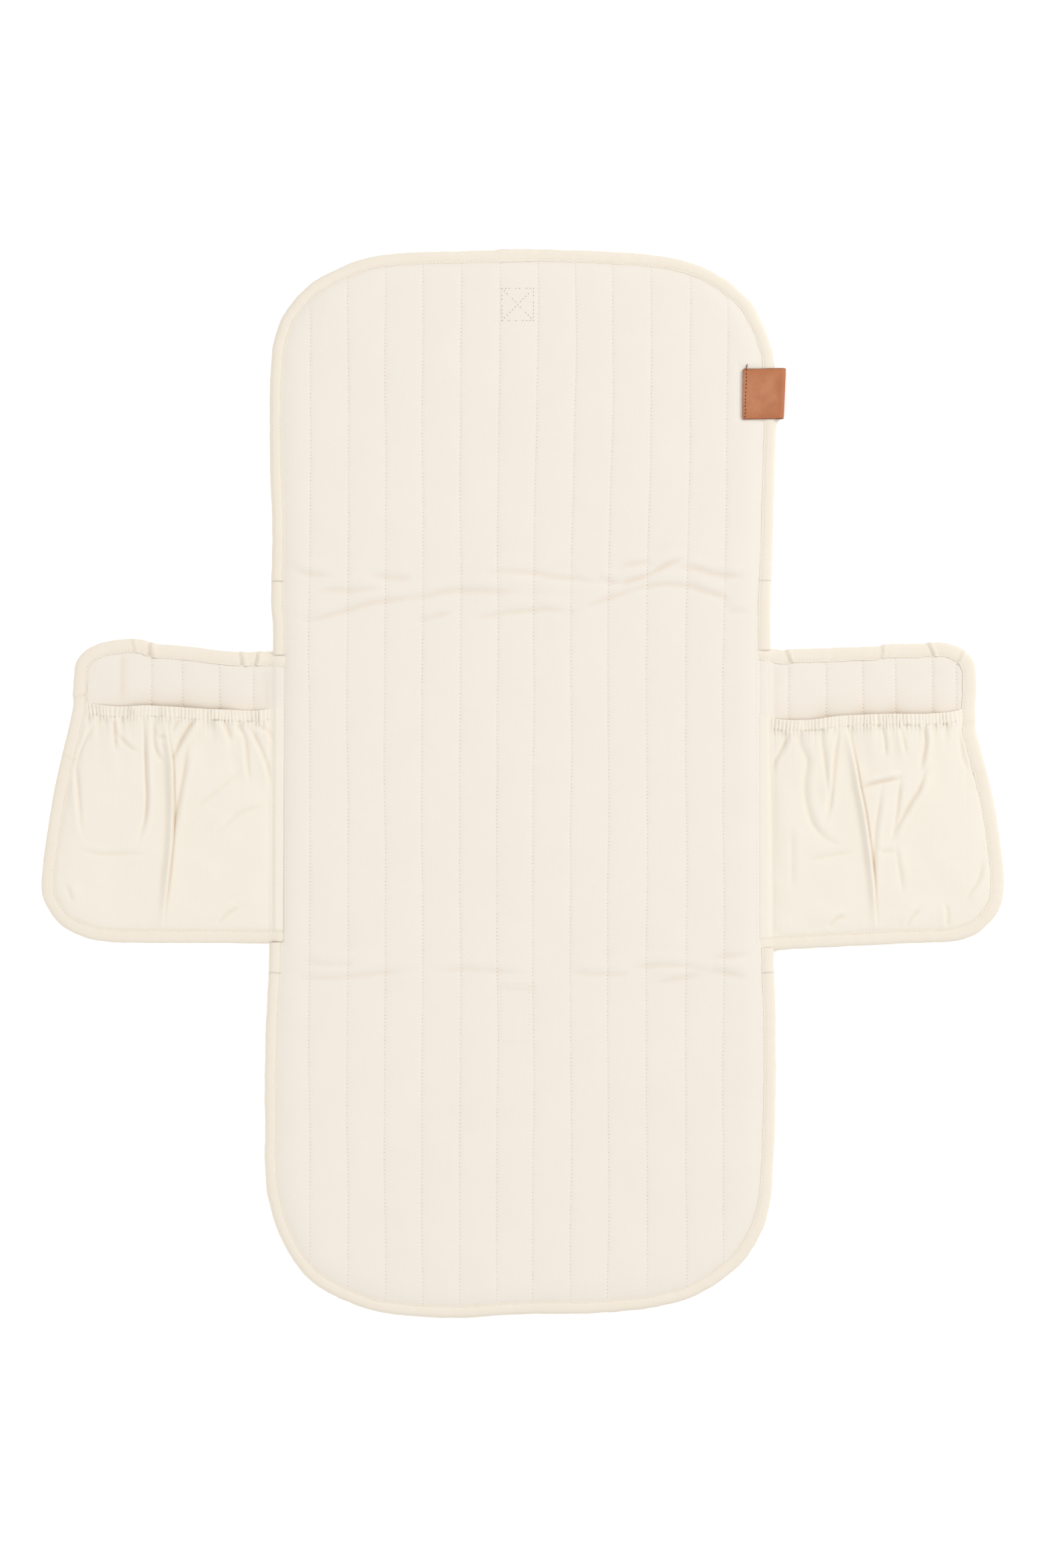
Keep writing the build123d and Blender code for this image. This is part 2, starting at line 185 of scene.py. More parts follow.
RIGHT_FOLDS = [
    ([(215.6, 42), (213.3, 27.8), (212, 16.5), (210.5, 0.7), (208.6, -16.3), (204.9, -27)], 0.8, 1.7, -0.8),
    ([(219.5, 42), (223.5, 27.8), (226.9, 12), (229.4, -2.1), (232.6, -17.4), (235.9, -38.9),
      (238.8, -61.5), (240, -78.4), (241.1, -99.3)], 0.6, 1.2, -2.0),
    ([(245.2, 1.8), (243.3, -12.9), (241, -27.6), (239.9, -42.3), (239.3, -55.8), (239.8, -72.8)],
     0.6, 2.0, 0.5),
    ([(229.2, -3.3), (235.9, 0.1), (245, 2.3), (252.9, 4.1), (258.3, 5.8)], 0.8, 1.8, 1.0),
    ([(257.6, 5.2), (256.3, -6.1), (254.6, -21.9), (252, -36.6)], 0.6, 1.8, 0.5),
    ([(275.7, 12), (269.8, -3.8), (264.2, -12.9), (258.5, -23.1), (254, -32.1), (251.8, -38.3)],
     0.9, 2.0, 0.9),
    ([(254.9, -40.6), (255.4, -50.2), (257.4, -61.5), (259.1, -75)], 0.4, 2.0, 0.3),
    ([(244.4, 42), (246.7, 28.9), (247.5, 17.6)], 0.6, 1.6, 0.5),
    ([(255.2, 42), (258.5, 28.9), (260.2, 18.8)], 0.6, 1.7, -0.5),
    ([(273.2, 42), (274.4, 27.8), (272.7, 17.6), (270.7, 6.9)], 0.8, 1.8, 0.8),
    ([(202, 40), (204.9, 23.3), (206.6, 9.7), (208.3, -5), (207.4, -16.3), (203.4, -27.8)], 0.6, 2.0, 0.4),
    ([(186.2, 38), (190.7, 25.5), (194.7, 15.4), (193, 0.7), (194.1, -12.9), (198.7, -27.6), (207.7, -36.6),
      (217.9, -41.4)], 0.6, 2.8, 0.6),
    ([(184, 38), (177.2, 24.4), (171.5, 13.7), (170.6, 6.3)], 0.7, 1.8, 0.6),
    ([(206.6, -97.6), (213.3, -90.9), (221.3, -88.6)], 0.5, 1.9, 0.4),
    ([(259.7, -97.6), (265.3, -88.6), (271.2, -84.1)], 0.5, 1.9, 0.4),
    ([(287.9, -98.8), (288.6, -88.6), (286.8, -80.7)], 0.5, 1.8, 0.4),
    ([(314.1, -51.3), (310.5, -64.9), (304.9, -73.9), (301.5, -80.7)], 0.5, 2.0, 0.4),
    ([(184, -28.7), (184.2, -51.3), (184, -72.8)], 0.35, 2.6, 0.3),
    ([(193, -51.5), (207.7, -47.9), (224.6, -45.1)], 0.35, 2.4, 0.3),
    ([(241, -45.3), (254.2, -44.9)], 0.35, 2.0, 0.3),
    ([(297.5, 38), (299.8, 19.9), (302.6, 9.7)], 0.7, 1.9, 0.6),
]


# Curves and measures ---------------------------------------------------------

def even(curve, step):
    """The same curve with points at even steps of its length."""
    run = np.concatenate([[0], np.cumsum(np.linalg.norm(np.diff(curve, axis=0), axis=1))])
    at = np.linspace(0, run[-1], max(2, int(round(run[-1] / step))) + 1)
    return np.stack([np.interp(at, run, curve[:, k]) for k in range(curve.shape[1])], 1)


def smooth(points, step, closed=False):
    """Catmull-Rom curve through the points: each span is a cubic set by its two ends and their neighbours."""
    p = np.asarray(points, float)
    first, last = 2 * p[:1] - p[1:2], 2 * p[-1:] - p[-2:-1]
    q = np.vstack([p[-1:], p, p[:2]]) if closed else np.vstack([first, p, last])
    t = np.linspace(0, 1, 16, endpoint=False)[:, None, None]
    a, b, c, d = q[:-3], q[1:-2], q[2:-1], q[3:]
    curve = 0.5 * (2 * b + (c - a) * t + (2 * a - 5 * b + 4 * c - d) * t**2 + (3 * b - a - 3 * c + d) * t**3)
    curve = curve.transpose(1, 0, 2).reshape(-1, p.shape[1])
    return even(np.vstack([curve, p[:1] if closed else p[-1:]]), step)


def turned(path):
    """Unit vectors to the left of a path's run."""
    run = np.gradient(path, axis=0)
    run /= np.linalg.norm(run, axis=1, keepdims=True)
    return np.stack([-run[:, 1], run[:, 0]], 1)


def foot(xy, line):
    """For each point: its distance to a polyline, positive on the line's left, the share of the run passed,
    and the vector from the line."""
    a, d = line[:-1], np.diff(line, axis=0)
    square = (d**2).sum(1)
    run = np.concatenate([[0], np.cumsum(np.sqrt(square))])
    found = []
    for part in np.array_split(xy, 1 + len(xy) * len(a) // 1500000):
        r = part[:, None] - a
        t = np.clip((r * d).sum(2) / square, 0, 1)
        q = r - t[..., None] * d
        away = (q**2).sum(2)
        k = away.argmin(1)
        i = np.arange(len(part))
        side = np.where(d[k, 0] * q[i, k, 1] - d[k, 1] * q[i, k, 0] < 0, -1.0, 1.0)
        gone = (run[k] + t[i, k] * (run[k + 1] - run[k])) / run[-1]
        found.append(np.column_stack([np.sqrt(away[i, k]) * side, gone, q[i, k] * side[:, None]]))
    out = np.vstack(found)
    return out[:, 0], out[:, 1], out[:, 2:]


def step_up(x, low, high):
    """0 below low, 1 above high, with a smooth cubic between."""
    t = np.clip((x - low) / (high - low), 0, 1)
    return t * t * (3 - 2 * t)


def window(x, low, high, soft):
    """1 between low and high, falling smoothly to 0 over the soft margin outside."""
    return step_up(x, low - soft, low) * (1 - step_up(x, high, high + soft))


def hills(x, y, size, seed):
    """Smooth random hills from -1 to 1: seeded lattice heights joined by quintic steps."""
    table = np.random.default_rng(seed).uniform(-1, 1, (64, 64))
    u, v = x / size + 640.37, y / size + 640.71
    i, j = np.floor(u).astype(int), np.floor(v).astype(int)
    f, g = u - i, v - j
    f, g = f**3 * (f * (f * 6 - 15) + 10), g**3 * (g * (g * 6 - 15) + 10)
    i, j, k, m = i % 64, j % 64, (i + 1) % 64, (j + 1) % 64
    return (table[i, j] * (1 - f) + table[k, j] * f) * (1 - g) + (table[i, m] * (1 - f) + table[k, m] * f) * g


def folds(xy, marks, grow=1.0, soft=1.0):
    """Height of creases: a bell-shaped valley along each line, and a step on its left that fades away."""
    high = np.zeros(len(xy))
    for points, depth, width, step in marks:
        width = width * soft
        line = smooth(points, 3.0)
        low, top = line.min(0) - 7 * width, line.max(0) + 7 * width
        near = np.flatnonzero(((xy > low) & (xy < top)).all(1))
        if not len(near):
            continue
        away, gone, _ = foot(xy[near], line)
        fade = step_up(gone, -0.06, 0.30) * (1 - step_up(gone, 0.70, 1.06))
        lean = away * np.sign(step)
        rise = abs(step) * (0.5 + 0.5 * np.tanh(lean / (0.45 * width)))
        rise *= np.exp(-(np.maximum(lean, 0) / (2.6 * width)) ** 2)
        rise *= np.exp(-(np.minimum(lean, 0) / width) ** 2)
        high[near] += grow * fade * (rise - depth * np.exp(-(away / width) ** 2))
    return high


# Mesh making -----------------------------------------------------------------

def make(name, points, faces, uv=None, normals=None, painted_shade=None):
    """A mesh object from points in mm and lists of faces. Its painted shade, 0 to 1, is kept as an attribute.
    """
    mesh = bpy.data.meshes.new(name)
    mesh.from_pydata((points * MM).tolist(), [], [f for part in faces for f in part.tolist()])
    mesh.shade_smooth()
    corners = np.zeros(len(mesh.loops), np.int32)
    mesh.loops.foreach_get("vertex_index", corners)
    if uv is not None:
        layer = mesh.uv_layers.new(name="sewing")
        layer.data.foreach_set("uv", uv[corners].astype(np.float32).ravel())
    if painted_shade is not None:
        mesh.attributes.new("painted_shade", "FLOAT", "POINT").data.foreach_set("value", painted_shade.astype(np.float32))
    if normals is not None:
        mesh.normals_split_custom_set(normals.tolist())
    piece = bpy.data.objects.new(name, mesh)
    bpy.context.scene.collection.objects.link(piece)
    return piece


def cells(rows, columns, keep=None):
    """Quads of a grid, anticlockwise, and triangles where one corner isn't kept."""
    n = np.arange(rows * columns).reshape(rows, columns)
    quad = np.stack([n[:-1, :-1], n[:-1, 1:], n[1:, 1:], n[1:, :-1]], -1).reshape(-1, 4)
    if keep is None:
        return quad, np.zeros((0, 3), int)
    held = keep.ravel()[quad]
    three = quad[held.sum(1) == 3]
    return quad[held.all(1)], three[held[held.sum(1) == 3]].reshape(-1, 3)


def edges_of(faces):
    """Edges that only one face has, in that face's own direction."""
    pairs = np.vstack([np.stack([f, np.roll(f, -1, 1)], -1).reshape(-1, 2) for f in faces if len(f)])
    big = pairs.max() + 1
    key, back = pairs[:, 0] * big + pairs[:, 1], pairs[:, 1] * big + pairs[:, 0]
    return pairs[~np.isin(key, back)]


def slopes(x, y, z):
    """Unit normals of a height grid, from its cross-wise and length-wise differences."""
    along = [np.gradient(v, axis=1) for v in (x, y, z)]
    up = [np.gradient(v, axis=0) for v in (x, y, z)]
    n = np.cross(np.stack(along, -1), np.stack(up, -1))
    size = np.linalg.norm(n, axis=-1, keepdims=True)
    return np.where(size > 1e-9, n / np.maximum(size, 1e-9), [0.0, 0.0, 1.0])


def hollows(z, across, along, deep):
    """How far each grid point lies below the mean of its neighbourhood, as a share of a depth."""
    mean = z
    for axis, reach in ((1, across), (0, along)):
        wide = np.pad(mean, [(reach, reach) if k == axis else (0, 0) for k in (0, 1)], mode="edge")
        mean = np.lib.stride_tricks.sliding_window_view(wide, 2 * reach + 1, axis).mean(-1)
    return np.clip((mean - z) / deep, 0, 1)


def slab(name, x, y, top, low, keep=None, uv=None, rows=None, painted_shade=None):
    """A closed sheet: a grid of tops, the same grid of undersides, and a wall round its open edges.

    Normals come from the whole grid, so that a sheet parted in rows shades as one.
    """
    up, down = slopes(x, y, top), -slopes(x, y, low)
    cut = slice(None) if rows is None else slice(rows[0], rows[1] + 1)
    x, y, top, low, up, down = x[cut], y[cut], top[cut], low[cut], up[cut], down[cut]
    keep = None if keep is None else keep[cut]
    faces = cells(*x.shape, keep)
    if x[0, -1] < x[0, 0] or y[-1, 0] < y[0, 0]:
        faces = tuple(f[:, ::-1] for f in faces)
        up, down = -up, -down
    count = x.size
    rim = edges_of(faces)
    wall = np.stack([rim[:, 0], rim[:, 0] + count, rim[:, 1] + count, rim[:, 1]], 1)
    points = np.vstack([np.column_stack([x.ravel(), y.ravel(), z.ravel()]) for z in (top, low)])
    normal = np.vstack([up.reshape(-1, 3), down.reshape(-1, 3)])
    faces = [faces[0], faces[1], faces[0][:, ::-1] + count, faces[1][:, ::-1] + count, wall]
    used, flat = np.unique(np.concatenate([f.ravel() for f in faces]), return_inverse=True)
    sizes, start, fresh = [f.shape for f in faces], 0, []
    for size in sizes:
        fresh.append(flat[start:start + size[0] * size[1]].reshape(size))
        start += size[0] * size[1]
    points, normal = points[used], normal[used]
    side = points[fresh[4][:, 1]] - points[fresh[4][:, 0]]
    side = np.cross(side, points[fresh[4][:, 2]] - points[fresh[4][:, 1]])
    side /= np.maximum(np.linalg.norm(side, axis=1, keepdims=True), 1e-9)
    split = [normal[f.ravel()] for f in fresh[:4]] + [np.repeat(side, 4, 0)]
    if uv is not None:
        uv = uv[cut].reshape(-1, 2)
        uv = np.vstack([uv, uv])[used]
    if painted_shade is not None:
        painted_shade = np.tile(painted_shade[cut].ravel(), 2)[used]
    return make(name, points, fresh, uv, np.vstack(split), painted_shade)


def carried(name, points, uv=None, closed=False, painted_shade=None):
    """A closed profile carried along a path, ends capped: points[i, j] is profile point j at path point i."""
    m, k = points.shape[:2]
    n = np.arange(m * k).reshape(m, k)
    if closed:
        n = np.vstack([n, n[:1]])
    ring = np.hstack([n, n[:, :1]])
    quad = np.stack([ring[:-1, :-1], ring[:-1, 1:], ring[1:, 1:], ring[1:, :-1]], -1).reshape(-1, 4)
    faces = [quad] if closed else [quad, n[:1, ::-1], n[-1:]]
    flat = points.reshape(-1, 3)
    tri = flat[quad]
    volume = np.einsum("ij,ij->i", tri[:, 0], np.cross(tri[:, 1], tri[:, 2])).sum()
    volume += np.einsum("ij,ij->i", tri[:, 0], np.cross(tri[:, 2], tri[:, 3])).sum()
    if volume < 0:
        faces = [f[:, ::-1] for f in faces]
    uv = None if uv is None else uv.reshape(-1, 2)
    return make(name, flat, faces, uv, None, None if painted_shade is None else painted_shade.ravel())


def stitches(name, centre, run, up, length=1.8, thick=0.64, bow=0.08):
    """Many short threads in one mesh: each is a flattened six-sided spindle, bowed up in the middle."""
    centre, run, up = (np.asarray(v, float) for v in (centre, run, up))
    run = run / np.linalg.norm(run, axis=1, keepdims=True)
    across = np.cross(run, up)
    across /= np.linalg.norm(across, axis=1, keepdims=True)
    up = np.cross(across, run)
    at = np.array([-0.5, -0.36, 0.0, 0.36, 0.5]) * length
    size = np.array([0.12, 0.42, 0.5, 0.42, 0.12]) * thick
    lift = np.array([-0.9, -0.1, 1.0, -0.1, -0.9]) * bow
    turn = np.arange(6) * math.pi / 3
    ring = np.stack([np.cos(turn), np.sin(turn)], 1)
    girth = ring[:, :1] * across[:, None, None] + 0.65 * ring[:, 1:] * up[:, None, None]
    p = (centre[:, None, None] + at[:, None, None] * run[:, None, None]
         + size[:, None, None] * girth + lift[:, None, None] * up[:, None, None])
    n = np.arange(30).reshape(5, 6)
    ringed = np.hstack([n, n[:, :1]])
    quad = np.stack([ringed[:-1, :-1], ringed[:-1, 1:], ringed[1:, 1:], ringed[1:, :-1]], -1).reshape(-1, 4)
    more = (np.arange(len(centre)) * 30)[:, None, None]
    ends = np.stack([n[0], n[-1][::-1]])
    spread = [(more + part).reshape(-1, part.shape[1]) for part in (quad[:, ::-1], ends)]
    return make(name, p.reshape(-1, 3), spread)


# Finishes --------------------------------------------------------------------

class Wire:
    """A shader value whose sums, products and powers add Math nodes."""

    def __init__(self, finish, socket):
        self.finish, self.socket = finish, socket

    def sum_up(self, kind, *values, clamp=False):
        values = {i: v for i, v in enumerate(values)}
        return self.finish.node("ShaderNodeMath", {"operation": kind, "use_clamp": clamp}, values)

    def __add__(self, other):
        return self.sum_up("ADD", self, other)

    def __radd__(self, other):
        return self.sum_up("ADD", other, self)

    def __sub__(self, other):
        return self.sum_up("SUBTRACT", self, other)

    def __rsub__(self, other):
        return self.sum_up("SUBTRACT", other, self)

    def __mul__(self, other):
        return self.sum_up("MULTIPLY", self, other)

    def __abs__(self):
        return self.sum_up("ABSOLUTE", self)

    def below(self, edge, soft):
        """1 where the value is under the edge, falling to 0 over the soft width."""
        return self.sum_up("MULTIPLY", (edge + soft) - self, 1.0 / soft, clamp=True)

    def above(self, edge, soft):
        """1 where the value is over the edge, falling to 0 over the soft width below it."""
        return self.sum_up("MULTIPLY", self - (edge - soft), 1.0 / soft, clamp=True)

    def wrapped(self):
        """How far the value is from the nearest whole number, from -0.5 to 0.5."""
        return self.sum_up("FRACT", self + 0.5) - 0.5


class Finish:
    """A material made of nodes round one Principled shader."""

    def __init__(self, name, roughness, **fixed):
        self.material = bpy.data.materials.new(name)
        self.material.use_nodes = True
        self.tree = self.material.node_tree
        self.tree.nodes.clear()
        self.shader = self.tree.nodes.new("ShaderNodeBsdfPrincipled")
        out = self.tree.nodes.new("ShaderNodeOutputMaterial")
        self.tree.links.new(self.shader.outputs[0], out.inputs[0])
        self.shader.inputs["Roughness"].default_value = roughness
        for key, value in fixed.items():
            self.shader.inputs[key.replace("_", " ")].default_value = value
        self.place = self.node("ShaderNodeTexCoord", pick="Object")

    def node(self, kind, settings=None, values=None, pick=0):
        """A node of a type, its settings set first, then the values or links of its sockets."""
        made = self.tree.nodes.new(kind)
        for key, value in (settings or {}).items():
            setattr(made, key, value)
        for key, value in (values or {}).items():
            if isinstance(value, Wire):
                self.tree.links.new(value.socket, made.inputs[key])
            else:
                made.inputs[key].default_value = value
        return Wire(self, made.outputs[pick])

    def stretch(self, scale, turn=0.0):
        """Object place, stretched and turned."""
        values = {"Vector": self.place, "Scale": scale, "Rotation": (0, 0, turn)}
        return self.node("ShaderNodeMapping", None, values)

    def cloud(self, scale, place=None, detail=2.0, rough=0.5):
        """Noise from 0 to 1, with its scale per metre."""
        values = {"Vector": place or self.place, "Scale": scale, "Detail": detail, "Roughness": rough}
        return self.node("ShaderNodeTexNoise", None, values)

    def specks(self, scale, pick, kind="F1"):
        """Scattered cells: the distance to the nearest speck, or that speck's own random colour."""
        values = {"Vector": self.place, "Scale": scale}
        return self.node("ShaderNodeTexVoronoi", {"feature": kind}, values, pick)

    def mix(self, share, first, second):
        """Colour between two, by a share."""
        return self.node("ShaderNodeMix", {"data_type": "RGBA"}, {0: share, 6: first, 7: second}, pick=2)

    def colour(self, wire):
        self.tree.links.new(wire.socket, self.shader.inputs["Base Color"])

    def rough(self, wire):
        self.tree.links.new(wire.socket, self.shader.inputs["Roughness"])

    def relief(self, wire, depth, strength=1.0):
        """Bump whose height 0 to 1 stands for a depth in metres."""
        bump = self.node("ShaderNodeBump", None, {"Height": wire, "Distance": depth, "Strength": strength})
        self.tree.links.new(bump.socket, self.shader.inputs["Normal"])


def shade(red, green, blue):
    """A linear colour."""
    return (red, green, blue, 1.0)


def cotton(name, base, dark, flecked=0.06, sewn=False):
    """Unbleached woven cotton: fine warp and weft, slubs, faint mottling, seed flecks, and painted shade
    of warm tan where a piece marks its hollows.

    Where a piece has sewing coordinates (mm from a line, stitches along it), needle holes are bumped in
    between the stitches and painted with dark shade.
    """
    f = Finish(name, 0.92, Sheen_Weight=0.12, Sheen_Roughness=0.6, Specular_IOR_Level=0.25)
    warp = f.cloud(1.0, f.stretch((2300.0, 240.0, 300.0)), 2.0)
    weft = f.cloud(1.0, f.stretch((240.0, 2300.0, 300.0)), 2.0)
    slub = f.cloud(1.0, f.stretch((900.0, 36.0, 200.0)), 1.0).above(0.68, 0.12)
    slub = slub + f.cloud(1.0, f.stretch((36.0, 900.0, 200.0)), 1.0).above(0.69, 0.12)
    mottle = f.cloud(34.0, None, 3.0)
    grain = f.cloud(420.0, None, 2.0)
    tone = (warp + weft) * 0.16 + grain * 0.22 + mottle * 0.42 - slub * 0.03
    body = f.mix(tone.above(0.82, 0.72), shade(*dark), shade(*base))
    spot = f.specks(46.0, "Distance")
    chance = f.node("ShaderNodeSeparateColor", None, {"Color": f.specks(46.0, "Color")}, pick=0)
    fleck = spot.below(0.011, 0.012) * chance.below(flecked, 0.01)
    body = f.mix(fleck * 0.75, body, shade(0.40, 0.27, 0.15))
    # Painted shade: a warm tan mixed in where the piece's shade attribute marks creases, hollows and shadowed
    # places.
    painted_shade = f.node("ShaderNodeAttribute", {"attribute_name": "painted_shade"}, pick="Fac")
    body = f.mix(painted_shade.sum_up("MULTIPLY", painted_shade, 0.60, clamp=True), body, shade(0.64, 0.46, 0.285))
    height = (warp + weft) * 0.5 + slub * 0.25
    if sewn:
        place = f.node("ShaderNodeUVMap", {"uv_map": "sewing"})
        near = f.node("ShaderNodeSeparateXYZ", None, {"Vector": place}, pick=0)
        along = f.node("ShaderNodeSeparateXYZ", None, {"Vector": place}, pick=1)
        gap = abs(along.wrapped()) * PITCH
        # Painted shade in the needle holes: uneven brown dots between the stitches, also dented in by the
        # bump.
        hole_dent_and_shade = (near * near + gap * gap).below(0.03, 0.10)
        uneven = f.cloud(260.0, None, 1.0).above(0.62, 0.30)
        body = f.mix(hole_dent_and_shade * (0.22 + uneven * 0.62), body, shade(0.42, 0.29, 0.17))
        height = height - hole_dent_and_shade * 1.2
    f.colour(body)
    f.relief(height, 0.00012, 0.35)
    return f.material


def threads(name, base):
    """Sewing thread: a soft sheen and fine diagonal twist."""
    f = Finish(name, 0.7, Sheen_Weight=0.2, Specular_IOR_Level=0.3)
    ply = f.cloud(1.0, f.stretch((2600.0, 2600.0, 2600.0), 0.6), 1.0)
    dim = tuple(c * 0.90 for c in base)
    f.colour(f.mix(ply, shade(*dim), shade(*base)))
    f.relief(ply, 0.00008, 0.5)
    return f.material


def hide(name):
    """Tanned leather: fine pebbled grain, drifting colour, darker toward the fold and burnished cut edges."""
    f = Finish(name, 0.55, Specular_IOR_Level=0.4)
    pebble = f.specks(1500.0, "Distance", "SMOOTH_F1")
    drift = f.cloud(110.0, None, 5.0, 0.6)
    streak = f.cloud(1.0, f.stretch((260.0, 900.0, 300.0), 0.35), 2.0)
    fine = f.cloud(1300.0, None, 2.0)
    body = f.mix(drift.above(0.70, 0.40), shade(0.372, 0.128, 0.053), shade(0.495, 0.192, 0.086))
    body = f.mix(fine * 0.30, body, shade(0.60, 0.28, 0.155))
    body = f.mix(streak.above(0.66, 0.20) * 0.08, body, shade(0.36, 0.12, 0.05))
    place = f.node("ShaderNodeUVMap", {"uv_map": "sewing"})
    side = f.node("ShaderNodeSeparateXYZ", None, {"Vector": place}, pick=0)
    body = f.mix(side.above(0.95, 0.40) * 0.55, body, shade(0.40, 0.118, 0.036))
    body = f.mix(side.above(0.99, 0.035) * 0.80, body, shade(0.17, 0.055, 0.025))
    f.colour(body)
    f.rough(0.48 + fine * 0.22)
    f.relief(pebble * 0.8 + fine * 0.4, 0.00014, 0.6)
    return f.material


def plain_fibre(name, base, scale, depth):
    """Soft fibre: tangled noise over a faint drift of colour."""
    f = Finish(name, 0.95, Sheen_Weight=0.2, Specular_IOR_Level=0.2)
    tangle = f.cloud(scale, None, 4.0, 0.65)
    dim = tuple(c * 0.86 for c in base)
    f.colour(f.mix(tangle, shade(*dim), shade(*base)))
    f.relief(tangle, depth, 0.9)
    return f.material


COTTON = cotton("cotton_quilted", (0.812, 0.758, 0.684), (0.775, 0.715, 0.635), sewn=True)
WING_COTTON = cotton("cotton_wing", (0.812, 0.756, 0.676), (0.776, 0.714, 0.626), sewn=True)
POCKET_COTTON = cotton("cotton_pocket", (0.830, 0.772, 0.678), (0.797, 0.732, 0.630), flecked=0.10)
BINDING_COTTON = cotton("cotton_binding", (0.818, 0.752, 0.650), (0.776, 0.703, 0.596), flecked=0.04)
THREAD = threads("thread_cream", (0.875, 0.82, 0.735))
BROWN_THREAD = threads("thread_brown", (0.15, 0.042, 0.015))
LEATHER = hide("leather_tan")
WADDING = plain_fibre("wadding", (0.87, 0.86, 0.83), 900.0, 0.0004)
# Painted shade for needle holes: a dark brown that stands in for the shade inside them.
NEEDLE_HOLE_SHADE = plain_fibre("needle_hole_shade", (0.42, 0.31, 0.20), 900.0, 0.0001)
ELASTIC = plain_fibre("elastic_knit", (0.86, 0.85, 0.82), 1800.0, 0.0002)
HOOK_TAPE = plain_fibre("hook_tape", (0.80, 0.75, 0.66), 2400.0, 0.0001)
LOOP_TAPE = plain_fibre("loop_tape", (0.82, 0.77, 0.69), 1500.0, 0.0005)


def dress(piece, finish):
    piece.data.materials.append(finish)
    return piece


# The quilted pad -------------------------------------------------------------

RIM = smooth(PAD_RIM, 6.0, closed=True)


def drift(c, y):
    """How far a quilting line wanders sideways at a height."""
    return 0.42 * np.sin(y / 41 + c / 37) + 0.30 * np.sin(y / 17.3 + c / 11) * np.sin(y / 90 + c)


def pinned(c, y):
    """The quilting lines' wander and the lean of the right-hand ones, held still toward the wings' seams."""
    lean = -(0.6 + 2.8 * step_up(c, -50, 25)) * step_up(-y, -335, -60)
    return (drift(c, y) + lean) * (1 - step_up(np.abs(c), 144, 157))


def wing_range(y, soft=2.0):
    """1 where a wing is sewn to the pad's side."""
    return window(y, WING_LOW_Y, WING_TOP_Y, soft)


WING_TOP_Y, WING_LOW_Y = 90.0, -109.5
SLACK = 0.06
PRESSED_ZONES = [
    (SEWN_HIGH[2] + SLACK, SEWN_LOW[0] - 0.3, SEWN_HIGH[0] + 0.3, SEWN_LOW[1] + 0.1, END + 5),
    (PATCH_HIGH[2] + SLACK, PATCH_LOW[0] - 0.3, PATCH_HIGH[0] + 0.3, PATCH_LOW[1] - 0.3, PATCH_HIGH[1] + 0.3),
    (LEATHER_THICK + SLACK, LOOP_LOW[0] - 0.4, SIDE + 6, LOOP_LOW[1] - 0.4, LOOP_HIGH[1] + 0.4),
]


def under(x, y):
    """How high the underside is pressed by the strap, the loop patch and the leather loop."""
    high = 0.0
    for thick, left, right, low, top in PRESSED_ZONES:
        high = np.maximum(high, thick * window(x, left, right, 1.2) * window(y, low, top, 1.2))
    return high


def nearest_line(c, lines):
    """Distance in mm to the nearest line, and half the width of the channel."""
    k = np.clip(np.searchsorted(lines, c) - 1, 0, len(lines) - 2)
    a, b = lines[k], lines[k + 1]
    return np.minimum(np.abs(c - a), np.abs(c - b)), (b - a) / 2


PAD_LINES = np.concatenate([[-169.0], QUILT_LINES, [166.0]])
TAB_RAMP = 14.0


